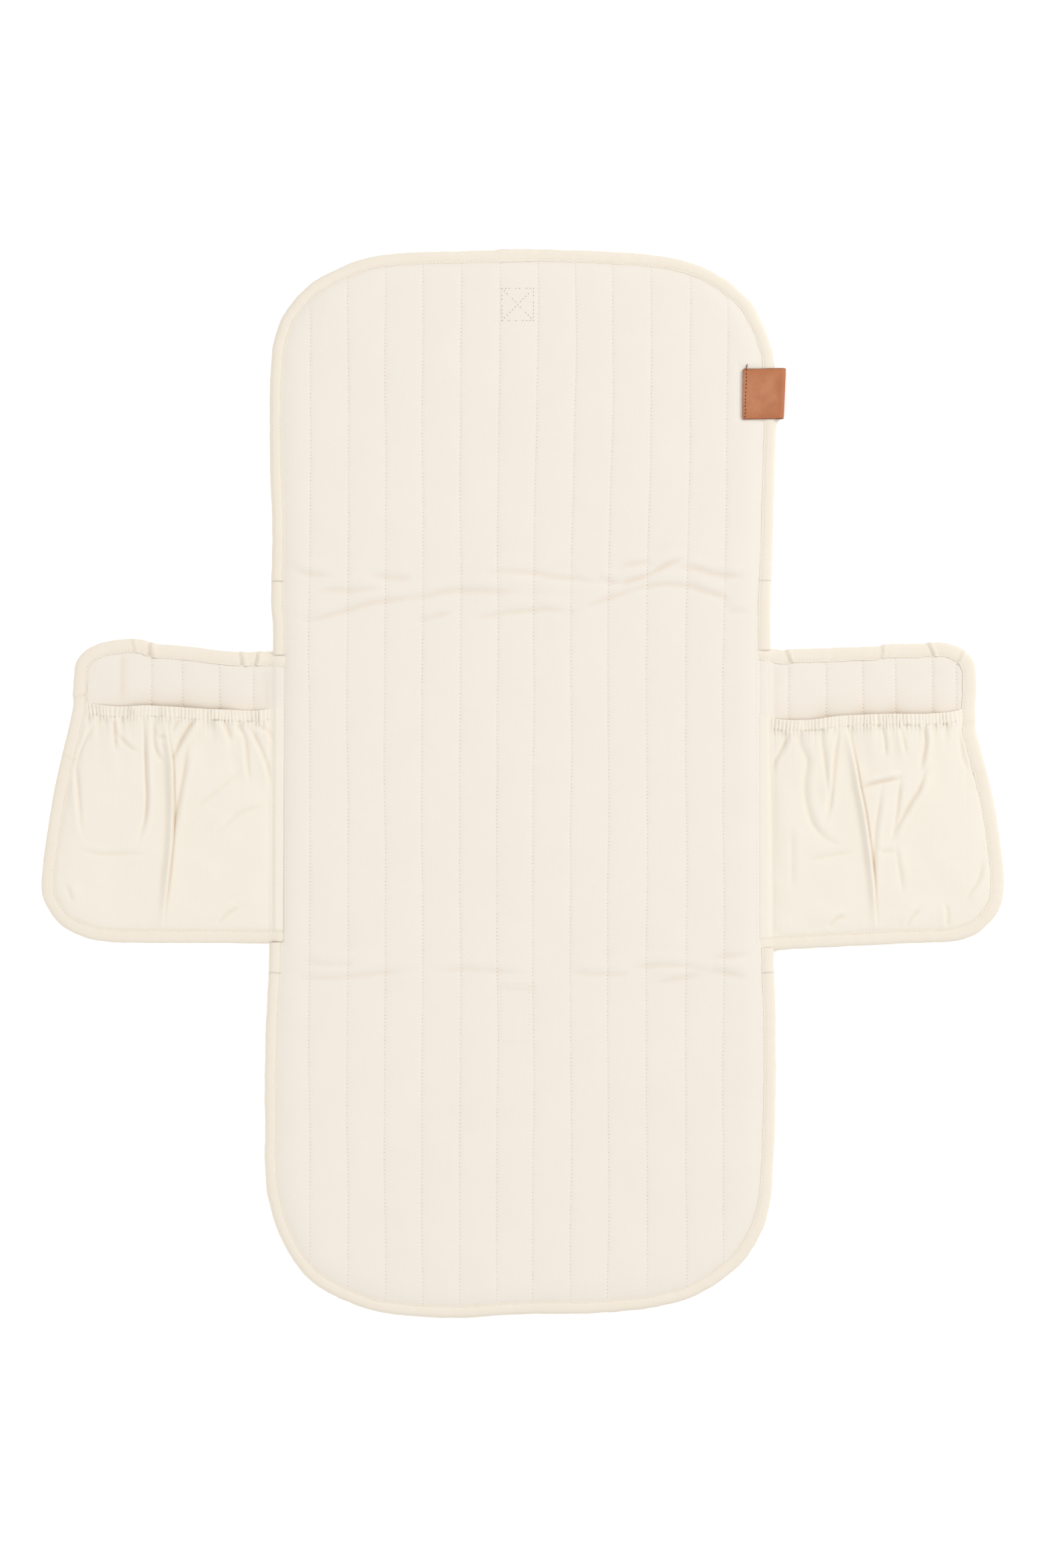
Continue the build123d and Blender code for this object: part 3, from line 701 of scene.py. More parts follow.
def pad_surface(c, y):
    """Top and underside of the quilt at line coordinate c and height y.

    Each channel is a low pillow that falls to its stitch lines, the edge rolls down to the binding, and
    creases, puckers and a slow swell are added. The underside has shallow grooves at the same lines, and the
    face is pressed down under the leather loop.
    """
    shape = c.shape
    c, y = c.ravel(), y.ravel()
    x = c + pinned(c, y)
    xy = np.column_stack([x, y])
    depth, _, _ = foot(xy, RIM)
    away, half = nearest_line(c, PAD_LINES)
    share = np.clip(away / half, 0, 1)
    fat = 1 + 0.10 * hills(x, y, 38, 3) + 0.05 * hills(x, y, 16, 4)
    pillow = (1 - (1 - share) ** 2.0) * 0.36 * fat
    pinch = 0.15 * np.exp(-((away / 0.8) ** 2)) + 0.06 * np.exp(-((away / 2.4) ** 2))
    pucker = 0.10 * hills(x / 2.4, y, 4.6, 7) * np.exp(-away / 3.4)
    pucker += 0.07 * hills(x / 3, y, 2.6, 8) * np.exp(-away / 1.7)
    swell = 0.22 * hills(x, y, 85, 11) + 0.12 * hills(x, y, 24, 12) + 0.05 * hills(x, y / 2, 9, 13)
    high = QUILT - 0.80 + pillow - pinch + pucker + swell
    high += folds(xy, PAD_CREASES, grow=1.7, soft=1.25)
    roll = 1 - (1 - np.clip((depth - BINDING + 0.5) / 17, 0, 1)) ** 2.6
    edge = EDGE - 0.50 + 0.10 * hills(x, y, 5, 15) * window(depth, BINDING, BINDING + 2, 3)
    edge -= 0.34 * (1 - step_up(depth, BINDING - 1.6, BINDING - 0.2))
    seam = wing_range(y, 4) * np.exp(-(((np.abs(x) - SEAM_X + 0.2) / 1.5) ** 2))
    high = edge + (high - edge) * roll - 0.30 * seam
    pressed = window(x, LOOP_LOW[0] - 1.5, 190, 3) * window(y, LOOP_LOW[1] - 0.5, LOOP_HIGH[1] + 0.5, 2.5)
    floor = LOOP_HIGH[2] - 1.75 + 1.05 * (1 - step_up(x, LOOP_LOW[0], LOOP_LOW[0] + TAB_RAMP))
    high -= np.maximum(high - floor, 0) * pressed
    low = 0.42 * np.exp(-((away / 1.4) ** 2)) + 0.25 * (1 - pillow / 1.2) * 0.5 + 0.08 * hills(x, y, 15, 17)
    low = np.maximum(low, 0.03) + 1.05 * (1 - step_up(depth, BINDING - 1.5, BINDING + 2.5))
    low = np.maximum(low, under(x, y))
    return x.reshape(shape), high.reshape(shape), low.reshape(shape), depth.reshape(shape)


def spread(lines, ends, fine):
    """Column places across the channels: on each line, close beside it, and evenly between."""
    marks = [ends[0], *[v for v in lines if ends[0] < v < ends[1]], ends[1]]
    offsets = np.array([0.55, 1.2, 2.2, 3.8])
    found = [np.array(marks)]
    for a, b in zip(marks[:-1], marks[1:]):
        if b - a > 10:
            middle = np.linspace(a + 3.8, b - 3.8, max(2, int((b - a - 7.6) / fine) + 1))[1:-1]
            found += [a + offsets, b - offsets, middle]
        else:
            found.append(np.linspace(a, b, max(2, int((b - a) / 1.4) + 1))[1:-1])
    return np.unique(np.round(np.concatenate(found), 4))


def snapped(c, y, x, depth, inset):
    """Which grid points are kept, with those just outside the inset rim pulled back onto it."""
    over = inset - depth
    cell = 1.5
    pull = (over > 0) & (over < cell)
    _, _, toward = foot(np.column_stack([x[pull], y[pull]]), RIM)
    size = np.maximum(np.linalg.norm(toward, axis=1), 1e-6)
    shift = toward / size[:, None] * over[pull][:, None]
    c, y = c.copy(), y.copy()
    c[pull] += shift[:, 0]
    y[pull] += shift[:, 1]
    return c, y, over < cell


ROWS = np.unique(np.round(np.concatenate([
    np.linspace(-END + 2, LOWER_MID, 132), np.linspace(LOWER_MID, MIDDLE, 74),
    np.linspace(MIDDLE, UPPER_MID, 98), np.linspace(UPPER_MID, END - 2, 132)]), 4))


def pad_layers():
    """The quilt's face, wadding and backing, each parted in four where the folds' spines and middle are."""
    columns = spread(QUILT_LINES, (-168.0, 165.5), 1.9)
    c, y = np.meshgrid(columns, ROWS)
    x, _, _, depth = pad_surface(c, y)
    flat = window(y, WING_LOW_Y + 2.6, WING_TOP_Y - 1.0, 1.0) * (np.abs(x) > 150)
    c, y, keep = snapped(c, y, x, depth, 3.4)
    shut = SEAM_X - 0.25 + 1.1 * (1 - window(y, WING_LOW_Y + 2, WING_TOP_Y - 2, 1.5))
    clipped = np.clip(c, -shut, shut)
    inside = (np.abs(c) < shut + 1.6) | (flat < 0.5)
    c = np.where(flat > 0.5, clipped, c)
    keep &= inside
    x, top, low, depth = pad_surface(c, y)
    uv = np.stack([nearest_line(c, QUILT_LINES)[0], y / PITCH], -1)
    cuts = [int(np.abs(ROWS - v).argmin()) for v in (LOWER_MID, MIDDLE, UPPER_MID)]
    return x, y, top, low, keep, uv, [0, *cuts, len(ROWS) - 1]


SPANS = {
    "lower": ("lower_spine", "lower_panel", LOWER_OUT, 4.4),
    "middle_lower": ("middle_panel", "lower_spine", LOWER_IN, 4.4),
    "middle_upper": ("middle_panel", "upper_spine", UPPER_IN, 7.5),
    "flap": ("upper_spine", "flap", UPPER_OUT, 7.5),
}
STANDS = {
    "lower": ["lower"], "middle_lower": ["lower_spine", "middle"], "middle_upper": ["middle", "upper_spine"],
    "flap": ["flap"],
}


def bend(piece, span):
    """Bake a piece's place into its mesh. Its span's fold line and the ends of a bend are worked out, but not
    used.
    """
    a, b, line, reach = SPANS[span]
    way = -1 if line < 0 else 1
    start, end = ((0, (line + way * along) * MM, QUILT * MM) for along in (-reach, reach))
    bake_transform(piece)
    return piece


def stands_for(span, layer):
    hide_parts(*[f"{n}_{layer}" for n in STANDS[span]])


X, Y, TOP, LOW, KEEP, UV, CUTS = pad_layers()
# Painted shade in the quilt face's creases and hollows, fading out toward its sides and left out beside the
# leather loop.
CREASE_SHADE = hollows(TOP, 3, 4, 1.8) * window(np.abs(X), 0, 158, 4)
CREASE_SHADE *= 1 - window(X, LOOP_LOW[0] - 3, 190, 4) * window(Y, LOOP_LOW[1] - 2, LOOP_HIGH[1] + 2, 4)
THIN = np.minimum(CLOTH, (TOP - LOW) / 3)
PAD = {}
for number, span in enumerate(("lower", "middle_lower", "middle_upper", "flap")):
    rows = (CUTS[number], CUTS[number + 1])
    face = slab(f"{span}_face_cloth", X, Y, TOP, TOP - THIN, KEEP, UV, rows, CREASE_SHADE)
    backing = slab(f"{span}_backing_cloth", X, Y, LOW + THIN, LOW, KEEP, UV, rows)
    fill = slab(f"{span}_wadding_layer", X[:, ::2], Y[:, ::2], (TOP - THIN)[:, ::2] - 0.05,
                (LOW + THIN)[:, ::2] + 0.05, KEEP[:, ::2], None, rows)
    dress(face, COTTON)
    dress(backing, COTTON)
    dress(fill, WADDING)
    stands_for(span, "face")
    stands_for(span, "backing")
    stands_for(span, "wadding")
    PAD[span] = (face, backing, fill)


def stitched_run(path, facing=1.0, sink=0.10):
    """Stitches at the sewing pitch along a 3-D path, facing up or down."""
    path = even(path, PITCH)
    run = np.diff(path, axis=0)
    up = np.tile([0, 0, facing], (len(run), 1))
    return (path[:-1] + path[1:]) / 2 - sink * up, run, up


def sewing(name, runs, finish=THREAD, slot="cotton", **look):
    """One mesh of all the stitches of several runs."""
    centre, run, up = (np.vstack([r[k] for r in runs]) for k in range(3))
    return dress(stitches(name, centre, run, up, **look), finish)


def pad_line(c, ys, face=True):
    """Stitch places on a quilting line, on the face or the back."""
    c = np.full(len(ys), c)
    x, top, low, _ = pad_surface(c[:, None], ys[:, None])
    z = top if face else low
    return np.column_stack([x[:, 0], ys, z[:, 0]])


def quilting(low_y, high_y):
    """All the quilting stitches of the pad between two heights, face and back."""
    runs = []
    ys = np.arange(math.ceil(low_y / PITCH), math.floor(high_y / PITCH)) * PITCH + PITCH / 2
    for c in QUILT_LINES:
        for face in (True, False):
            path = pad_line(c, ys, face)
            depth = foot(path[:, :2], RIM)[0]
            path = path[depth > BINDING - 0.5]
            if not face:
                path = path[under(path[:, 0], path[:, 1]) < 0.5]
            run = np.gradient(path, axis=0)
            up = np.tile([0, 0, 1.0 if face else -1.0], (len(path), 1))
            path[:, 0] += ZIGZAG * (-1.0) ** np.arange(len(path))
            runs.append((path - up * 0.06, run, up))
    return runs


def on_pad(points, height=-0.04):
    """Points on the quilt's face, with their heights."""
    points = np.asarray(points, float)
    c = points[:, :1] - pinned(points[:, :1], points[:, 1:])
    _, top, _, _ = pad_surface(c, points[:, 1:])
    return np.column_stack([points, top[:, 0] + height])


def box_run(corners, closed=True):
    """Straight stitched runs between corners on the face."""
    corners = [*corners, corners[0]] if closed else list(corners)
    runs = []
    for a, b in zip(corners[:-1], corners[1:]):
        count = max(2, int(round(math.dist(a, b) / PITCH)))
        ends = np.linspace(0, 1, count + 1)[:, None]
        line = np.array(a) + (np.array(b) - a) * ends
        middle = (line[:-1] + line[1:]) / 2
        run = np.tile([b[0] - a[0], b[1] - a[1], 0.0], (count, 1))
        runs.append((on_pad(middle), run, np.tile([0, 0, 1.0], (count, 1))))
    return runs


SPAN_Y = {
    "lower": (-END, LOWER_MID), "middle_lower": (LOWER_MID, MIDDLE), "middle_upper": (MIDDLE, UPPER_MID),
    "flap": (UPPER_MID, END),
}
STRAP_BOX = [(-13.4, 336.0), (8.0, 336.0), (8.0, 314.2), (-13.4, 314.2)]
PATCH_BOX = [(-13.4, -135.2), (5.3, -135.2), (5.3, -174.0), (-13.4, -174.0)]
for span, (face, backing, fill) in PAD.items():
    runs = quilting(*SPAN_Y[span])
    if span == "flap":
        runs += box_run(STRAP_BOX) + box_run(STRAP_BOX[::2], False) + box_run(STRAP_BOX[1::2], False)
    if span == "lower":
        runs += box_run(PATCH_BOX)
    if span.startswith("middle"):
        ends = (WING_LOW_Y + 1, MIDDLE) if span == "middle_lower" else (MIDDLE, WING_TOP_Y - 4)
        for x in (-160.4, 159.2):
            runs += box_run([(x, ends[0]), (x, ends[1])], False)
    sewn = sewing(f"{span}_quilting", runs)
    for piece in (face, backing, fill, sewn):
        bend(piece, span)


def needle_hole_shades(name, corners, span):
    """Painted shade in the needle holes of a stitched box and cross: short dark dots sunk between the
    stitches.
    """
    runs = box_run(corners) + box_run(corners[::2], False) + box_run(corners[1::2], False)
    spots = np.vstack([r[0] + r[1] / np.linalg.norm(r[1][:1], axis=1)[:, None] * PITCH / 2 for r in runs])
    spots = spots[np.random.default_rng(7).permutation(len(spots))[:int(0.8 * len(spots))]]
    run, up = np.tile([0, 1.0, 0], (len(spots), 1)), np.tile([0, 0, 1.0], (len(spots), 1))
    marks = stitches(name, on_pad(spots[:, :2], 0.03), run, up, 0.62, 0.55, 0.02)
    bend(dress(marks, NEEDLE_HOLE_SHADE), span)


needle_hole_shades("strap_box_needle_hole_shade", STRAP_BOX, "flap")


# Edge binding ----------------------------------------------------------------

PROFILE = np.array([
    (8.6, 5.4), (8.52, 5.72), (8.2, 5.9), (7.8, 5.86), (7.45, 5.68), (7.1, 5.8), (6.5, 5.96), (5.2, 6.02),
    (3.8, 5.98), (2.7, 5.82), (1.8, 5.5), (1.0, 4.9), (0.4, 4.1), (0.1, 3.3), (0.1, 2.6), (0.4, 1.8),
    (1.0, 1.05), (1.8, 0.5), (2.8, 0.16), (4.0, 0.02), (6.0, 0.0), (7.4, 0.1), (8.2, 0.02), (8.6, 0.3),
    (8.45, 0.78), (7.4, 0.86), (4.2, 0.88), (2.6, 1.3), (1.5, 2.3), (1.3, 3.0), (1.5, 3.8), (2.6, 4.7),
    (4.2, 5.08), (7.4, 5.0), (8.45, 5.12)])


def bound_edge(name, path, wide, high, seed, press=None, nicks=()):
    """Binding: a folded tape profile carried along the edge, with its inward side on the path's left.

    The tape's width and top ripple gently with the run, the whole profile is squeezed up where something
    lies under it, and a nick is a ridge and a dip that run slantwise over the tape. Painted shade lies
    under the tape's inner lip and in each nick's dip.
    """
    left = turned(path)
    run = np.concatenate([[0], np.cumsum(np.linalg.norm(np.diff(path, axis=0), axis=1))])
    high = np.broadcast_to(np.asarray(high, float), len(path))[:, None]
    share = PROFILE[:, 0] / PROFILE[:, 0].max()
    n, z = share * wide, PROFILE[:, 1] / 6.0
    edge = 0.22 * hills(run, run * 0, 9.0, seed) + 0.12 * hills(run, run * 0, 3.4, seed + 1)
    inner = 0.24 * hills(run, run * 0, 6.0, seed + 2) + 0.12 * hills(run, run * 0, 2.6, seed + 5)
    across = n[None] + edge[:, None] * (1 - share)[None] + inner[:, None] * share[None]
    crown = (0.10 * hills(run, run * 0, 5.2, seed + 3) + 0.07 * hills(run, run * 0, 2.4, seed + 4))[:, None]
    crown = crown - 0.16 * np.exp(-(((share - STITCH_AT) / 0.05) ** 2))[None]
    # Painted shade: a dark line under the tape's inner lip, and more in the dip beside each nick's ridge.
    painted_shade = 0.18 * np.exp(-(((share - 0.99) / 0.05) ** 2))[None] + np.zeros((len(path), 1))
    for x, y, size, slant in nicks:
        off = run - run[((path - [x, y]) ** 2).sum(1).argmin()]
        ridge = off[:, None] + slant * (share - 0.5)[None]
        crown = crown + size * (np.exp(-((ridge / 1.0) ** 2)) - 0.8 * np.exp(-(((ridge - 1.8) / 1.0) ** 2)))
        painted_shade = painted_shade + 0.40 * size * np.exp(-(((ridge - 1.7) / 1.1) ** 2))
        across -= 0.7 * size * np.exp(-((ridge / 1.6) ** 2)) * (1 - share)[None]
    lift = crown * np.clip(z, 0, 1)[None] ** 2
    p = path[:, None] + left[:, None] * across[..., None]
    low = np.zeros(p.shape[:2]) if press is None else press(p[..., 0], p[..., 1])
    height = low + z[None] * (high - low) + lift
    painted_shade = np.clip(painted_shade, 0, 1) * (z > 0.5)[None]
    piece = carried(name, np.concatenate([p, height[..., None]], -1), None, False, painted_shade)
    dress(piece, BINDING_COTTON)
    stitch = path + left * (wide * STITCH_AT)
    lows = np.zeros(len(path)) if press is None else press(stitch[:, 0], stitch[:, 1])
    on_top = np.column_stack([stitch, high[:, 0] * 0.945])
    on_back = np.column_stack([stitch, lows + 0.02])
    return piece, [stitched_run(on_top, 1.0, 0.0), stitched_run(on_back, -1.0, 0.0)]


def rim_part(y_from, y_to, side):
    """The outline between two heights on one side, run so that the pad is on its left."""
    ring = smooth(PAD_RIM, 1.5, closed=True)
    part = ring[(np.sign(ring[:, 0]) == side) & (np.abs(ring[:, 1]) < 250)]
    part = part[np.argsort(part[:, 1])]
    ys = np.linspace(y_from, y_to, int((y_to - y_from) / 1.5) + 2)[:: side]
    return np.column_stack([np.interp(ys, part[:, 1], part[:, 0]), ys])


def rim_loop(y, upper):
    """The outline round one end of the pad, from one side at height y to the other."""
    ring = smooth(PAD_RIM, 1.5, closed=True)[:-1]
    keep = ring[:, 1] > y if upper else ring[:, 1] < y
    start = int(np.flatnonzero(keep & ~np.roll(keep, 1))[0])
    ring, keep = np.roll(ring, -start, 0), np.roll(keep, -start)
    path = ring[keep]
    ends = [(path[k, 0] + (path[k, 0] - path[m, 0]) * 0.1, y) for k, m in ((0, 1), (-1, -2))]
    return even(np.vstack([ends[:1], path, ends[1:]]), 1.5)


def edge_piece(name, path, span, nodes, seed):
    piece, runs = bound_edge(name, path, BINDING, EDGE, seed, press=under)
    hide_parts(*nodes)
    bend(piece, span)
    return runs


edge_runs = {
    "flap": edge_piece("flap_edge_binding", rim_loop(UPPER_MID, True), "flap", ["flap_binding"], 21),
    "lower": edge_piece("lower_edge_binding", rim_loop(LOWER_MID, False), "lower", ["lower_binding"], 31),
}
for side, word in ((-1, "left"), (1, "right")):
    top_y = WING_TOP_Y - (2.6 if side < 0 else -0.6)
    low_y = WING_LOW_Y + (2.2 if side < 0 else -1.4)
    edge_runs[f"middle_upper_{word}"] = edge_piece(
        f"upper_edge_binding_{word}", rim_part(top_y, UPPER_MID, side), "middle_upper",
        [f"middle_binding_{word}_upper", f"upper_spine_binding_{word}"], 41 + side)
    edge_runs[f"middle_lower_{word}"] = edge_piece(
        f"lower_edge_binding_{word}", rim_part(LOWER_MID, low_y, side), "middle_lower",
        [f"middle_binding_{word}_lower", f"lower_spine_binding_{word}"], 51 + side)
for key, runs in edge_runs.items():
    span = key.replace("_left", "").replace("_right", "")
    bend(sewing(f"{key}_binding_stitches", runs, slot="binding"), span)


# Wings -----------------------------------------------------------------------

WING = {
    -1: {"word": "left", "rim": smooth(LEFT_RIM, 2.5), "lines": np.array([-251.3, -230.7, -205.2, -182.2]),
         "nicks": [(-250, 95.4, 1.1, 3.0), (-189, 89.5, 0.9, 2.0), (-178, 89.8, 1.0, -2.0),
                   (-262, 98.5, 0.5, 3.0), (-304, 62, 0.4, 3.0), (-312, 20, 0.3, -3.0)],
         "hem": LEFT_HEM, "folds": LEFT_FOLDS, "seed": 60,
         "topstitch": [(-110, -168.8), (0, -168.6), (90, -168.2)]},
    1: {"word": "right", "rim": smooth(RIGHT_RIM[::-1], 2.5),
        "lines": np.array([181.3, 206.6, 231.4, 253.6, 278.9, 295.2]),
        "nicks": [(182, 91.5, 0.9, 2.0), (245, 94.5, 0.7, -3.0), (279, 96, 0.9, 4.0), (302, 89, 0.6, 3.0),
                  (309, 40, 0.4, 3.0), (316, 8, 0.3, -3.0)],
        "hem": RIGHT_HEM, "folds": RIGHT_FOLDS, "seed": 80,
        "topstitch": [(-114, 171.0), (-40, 170.2), (20, 168.6), (92, 166.8)]},
}
for side, wing in WING.items():
    wing["marks"] = np.sort(np.array([side * 143.3, *wing["lines"], side * 330.0]))


def sewn_x(side, y):
    """How far from the pad's middle a wing's topstitch runs, at a height."""
    return np.abs(np.interp(y, *np.array(WING[side]["topstitch"]).T))


def wing_surface(side, c, y):
    """Top and underside of a wing's quilt at line coordinate c and height y.

    Low pillows between the lines, rolled down to the binding, with a raised seam allowance beside the pad.
    """
    wing = WING[side]
    shape = c.shape
    c, y = c.ravel(), y.ravel()
    x = c + 0.5 * drift(c, y) * step_up(np.abs(c), 166, 180)
    xy = np.column_stack([x, y])
    depth, _, _ = foot(xy, wing["rim"])
    away, half = nearest_line(c, wing["marks"])
    far = np.abs(x) > 173
    share = np.clip(away / np.minimum(half, 13), 0, 1)
    pillow = (1 - (1 - share) ** 2.2) * 0.42
    pinch = (0.16 * np.exp(-((away / 0.8) ** 2)) + 0.08 * np.exp(-((away / 2.4) ** 2))) * far
    pucker = 0.09 * hills(x / 2.4, y, 4.6, 67) * np.exp(-away / 3.4)
    swell = 0.14 * hills(x, y, 40, 61) + 0.09 * hills(x, y, 14, 62)
    high = WING_EDGE - 0.30 + pillow * far + 0.3 * ~far - pinch + pucker + swell
    if side < 0:
        high -= 0.6 * np.exp(-(((x + 271.2) / 2.4) ** 2)) * step_up(y, 50, 66)
    roll = 1 - (1 - np.clip((depth - WING_BINDING + 0.8) / 9, 0, 1)) ** 2.2
    edge = WING_EDGE - 0.05 - 0.75 * (1 - step_up(depth, WING_BINDING - 1.8, WING_BINDING - 0.3))
    high = edge + (high - edge) * roll
    gap = np.abs(x) - SEAM_X
    seam = 1.70 * (1 - step_up(gap, 4.5, 11.0)) - 0.22 * np.exp(-((gap / 0.8) ** 2))
    seam -= 0.30 * np.exp(-(((np.abs(x) - sewn_x(side, y)) / 0.9) ** 2))
    high += seam * np.clip((depth - WING_BINDING + 2.4) / 2.2, 0, 1)
    low = 0.05 + 0.16 * np.exp(-((away / 1.3) ** 2)) * far + 0.05 * hills(x, y, 15, 63)
    low = np.maximum(low, 0.03) + 0.62 * (1 - step_up(depth, WING_BINDING - 1.5, WING_BINDING + 2))
    return x.reshape(shape), high.reshape(shape), low.reshape(shape), depth.reshape(shape)


def hinge(side, piece):
    """Bake a wing's piece's place into its mesh; the hinge points at its seam are set but not used."""
    near, far = (side * 161.0 * MM, 0, HINGE_Z * MM), (side * 177.0 * MM, 0, HINGE_Z * MM)
    if side < 0:
        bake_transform(piece)
    else:
        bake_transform(piece)
    return piece


def pulled(x, y, depth, inset, rim):
    """Grid points just outside the inset rim, pulled back onto it, and which points are kept."""
    over = inset - depth
    near = (over > 0) & (over < 1.7)
    _, _, toward = foot(np.column_stack([x[near], y[near]]), rim)
    shift = toward / np.maximum(np.linalg.norm(toward, axis=1), 1e-6)[:, None] * over[near][:, None]
    x, y = x.copy(), y.copy()
    x[near] += shift[:, 0]
    y[near] += shift[:, 1]
    return x, y, over < 1.7


def hem_line(side, x):
    points = smooth(WING[side]["hem"], 2.0)
    order = np.argsort(points[:, 0])
    return np.interp(x, points[order, 0], points[order, 1])


def ruffle(x, rise=0.0):
    """Gathers of the hem, about -1 to 1: rounded tops and sharp valleys, |cos| of a wandering phase."""
    phase = 2 * np.pi * (x + 0.16 * rise * hills(x, x * 0, 9.0, 4)) / 2.5
    phase = phase + 2.6 * hills(x, x * 0, 7.5, 5) + 1.2 * hills(x, x * 0, 3.1, 6)
    waves = (2 * np.abs(np.cos(phase / 2)) - 1.1) * (0.60 + 0.40 * hills(x, x * 0, 4.3, 9))
    return waves + 0.3 * hills(x, x * 0, 1.9, 10)


def mouth(side, x):
    """How far the pocket's mouth stands over the wing, from 0 at its two ends."""
    inner, outer = side * 168.6, side * (300.0 if side < 0 else 301.5)
    t = np.clip((x - inner) / (outer - inner), 0, 1)
    crown = np.sin(np.pi * t) ** 0.55
    dome = 0.9 * np.exp(-(((x - (-212 if side < 0 else 262)) / 24) ** 2))
    return (3.7 + 0.5 * hills(x, x * 0, 17, 71 + side) + dome) * crown


HEM = 7.4


def pocket_height(side, x, y, depth):
    """Height of a pocket front.

    It lies on the seam allowance and is pinned at the topstitch and the wing's binding, swells over the wing,
    and stands up at its gathered mouth. Long folds, short radiating gathers and the hem's ruffle are added,
    with a dip at the hem's stitching and a rounded top edge.
    """
    wing = WING[side]
    shape = x.shape
    x, y, depth = x.ravel(), y.ravel(), depth.ravel()
    rest = wing_surface(side, x, y)[1] + 0.12
    rise = y - hem_line(side, x) + HEM
    drop, rise = np.maximum(-rise, 0), np.maximum(rise, 0)
    inner = np.abs(x) - sewn_x(side, y)
    a = np.clip((depth - WING_BINDING + 0.8) / 15, 0, 1)
    b = np.clip((inner - 0.2) / 12, 0, 1)
    held = (1 - (1 - a) ** 2.3) * (1 - (1 - b) ** 2.3)
    fall = np.exp(-drop / 42)
    body = 0.95 + 0.75 * np.exp(-(((drop - 62) / 50) ** 2))
    high = held * body * (1 - fall) + mouth(side, x) * fall * np.clip(held * 1.6, 0, 1)
    loose = np.clip(np.minimum(depth - WING_BINDING + 1.5, inner + 0.6) / 4, 0, 1)
    swell = 0.36 * hills(x, y, 30, wing["seed"]) + 0.22 * hills(x, y, 13, wing["seed"] + 1)
    gather = hills(x, y / 8, 3.8, wing["seed"] + 2) * 1.10 * np.exp(-drop / 8) * (rise == 0)
    gather += hills(x + 0.15 * y, y / 7, 7.0, wing["seed"] + 3) * 0.95 * np.exp(-(drop + rise) / 22)
    frill = 0.52 * ruffle(x, rise) * np.exp(-drop / 3.6)
    puff = 0.42 * np.exp(-(((drop - 1.5) / 1.1) ** 2)) * (0.6 + 0.8 * ruffle(x))
    dip = -0.22 * np.exp(-(((rise - drop) / 0.65) ** 2))
    tuck = 0.30 * hills(x, y, 5.2, wing["seed"] + 4) * np.exp(-np.maximum(depth - WING_BINDING, 0) / 3.5)
    creases = folds(np.column_stack([x, y]), wing["folds"]) * (rise == 0)
    high += (swell * held + gather + frill + puff + dip + tuck + creases * 1.6) * loose
    over = np.clip((rise - HEM + 1.1) / 1.1, 0, 1)
    high -= (1 - np.sqrt(1 - over**2)) * 0.75
    base = WING_EDGE - 0.05 + 0.30 * np.clip(held * 3, 0, 1)
    base -= 0.5 * (1 - step_up(depth, WING_BINDING - 2, WING_BINDING))
    near = 1 - step_up(inner, 0, 6)
    return (rest * near + base * (1 - near) + np.maximum(high, -0.25 * loose)).reshape(shape)


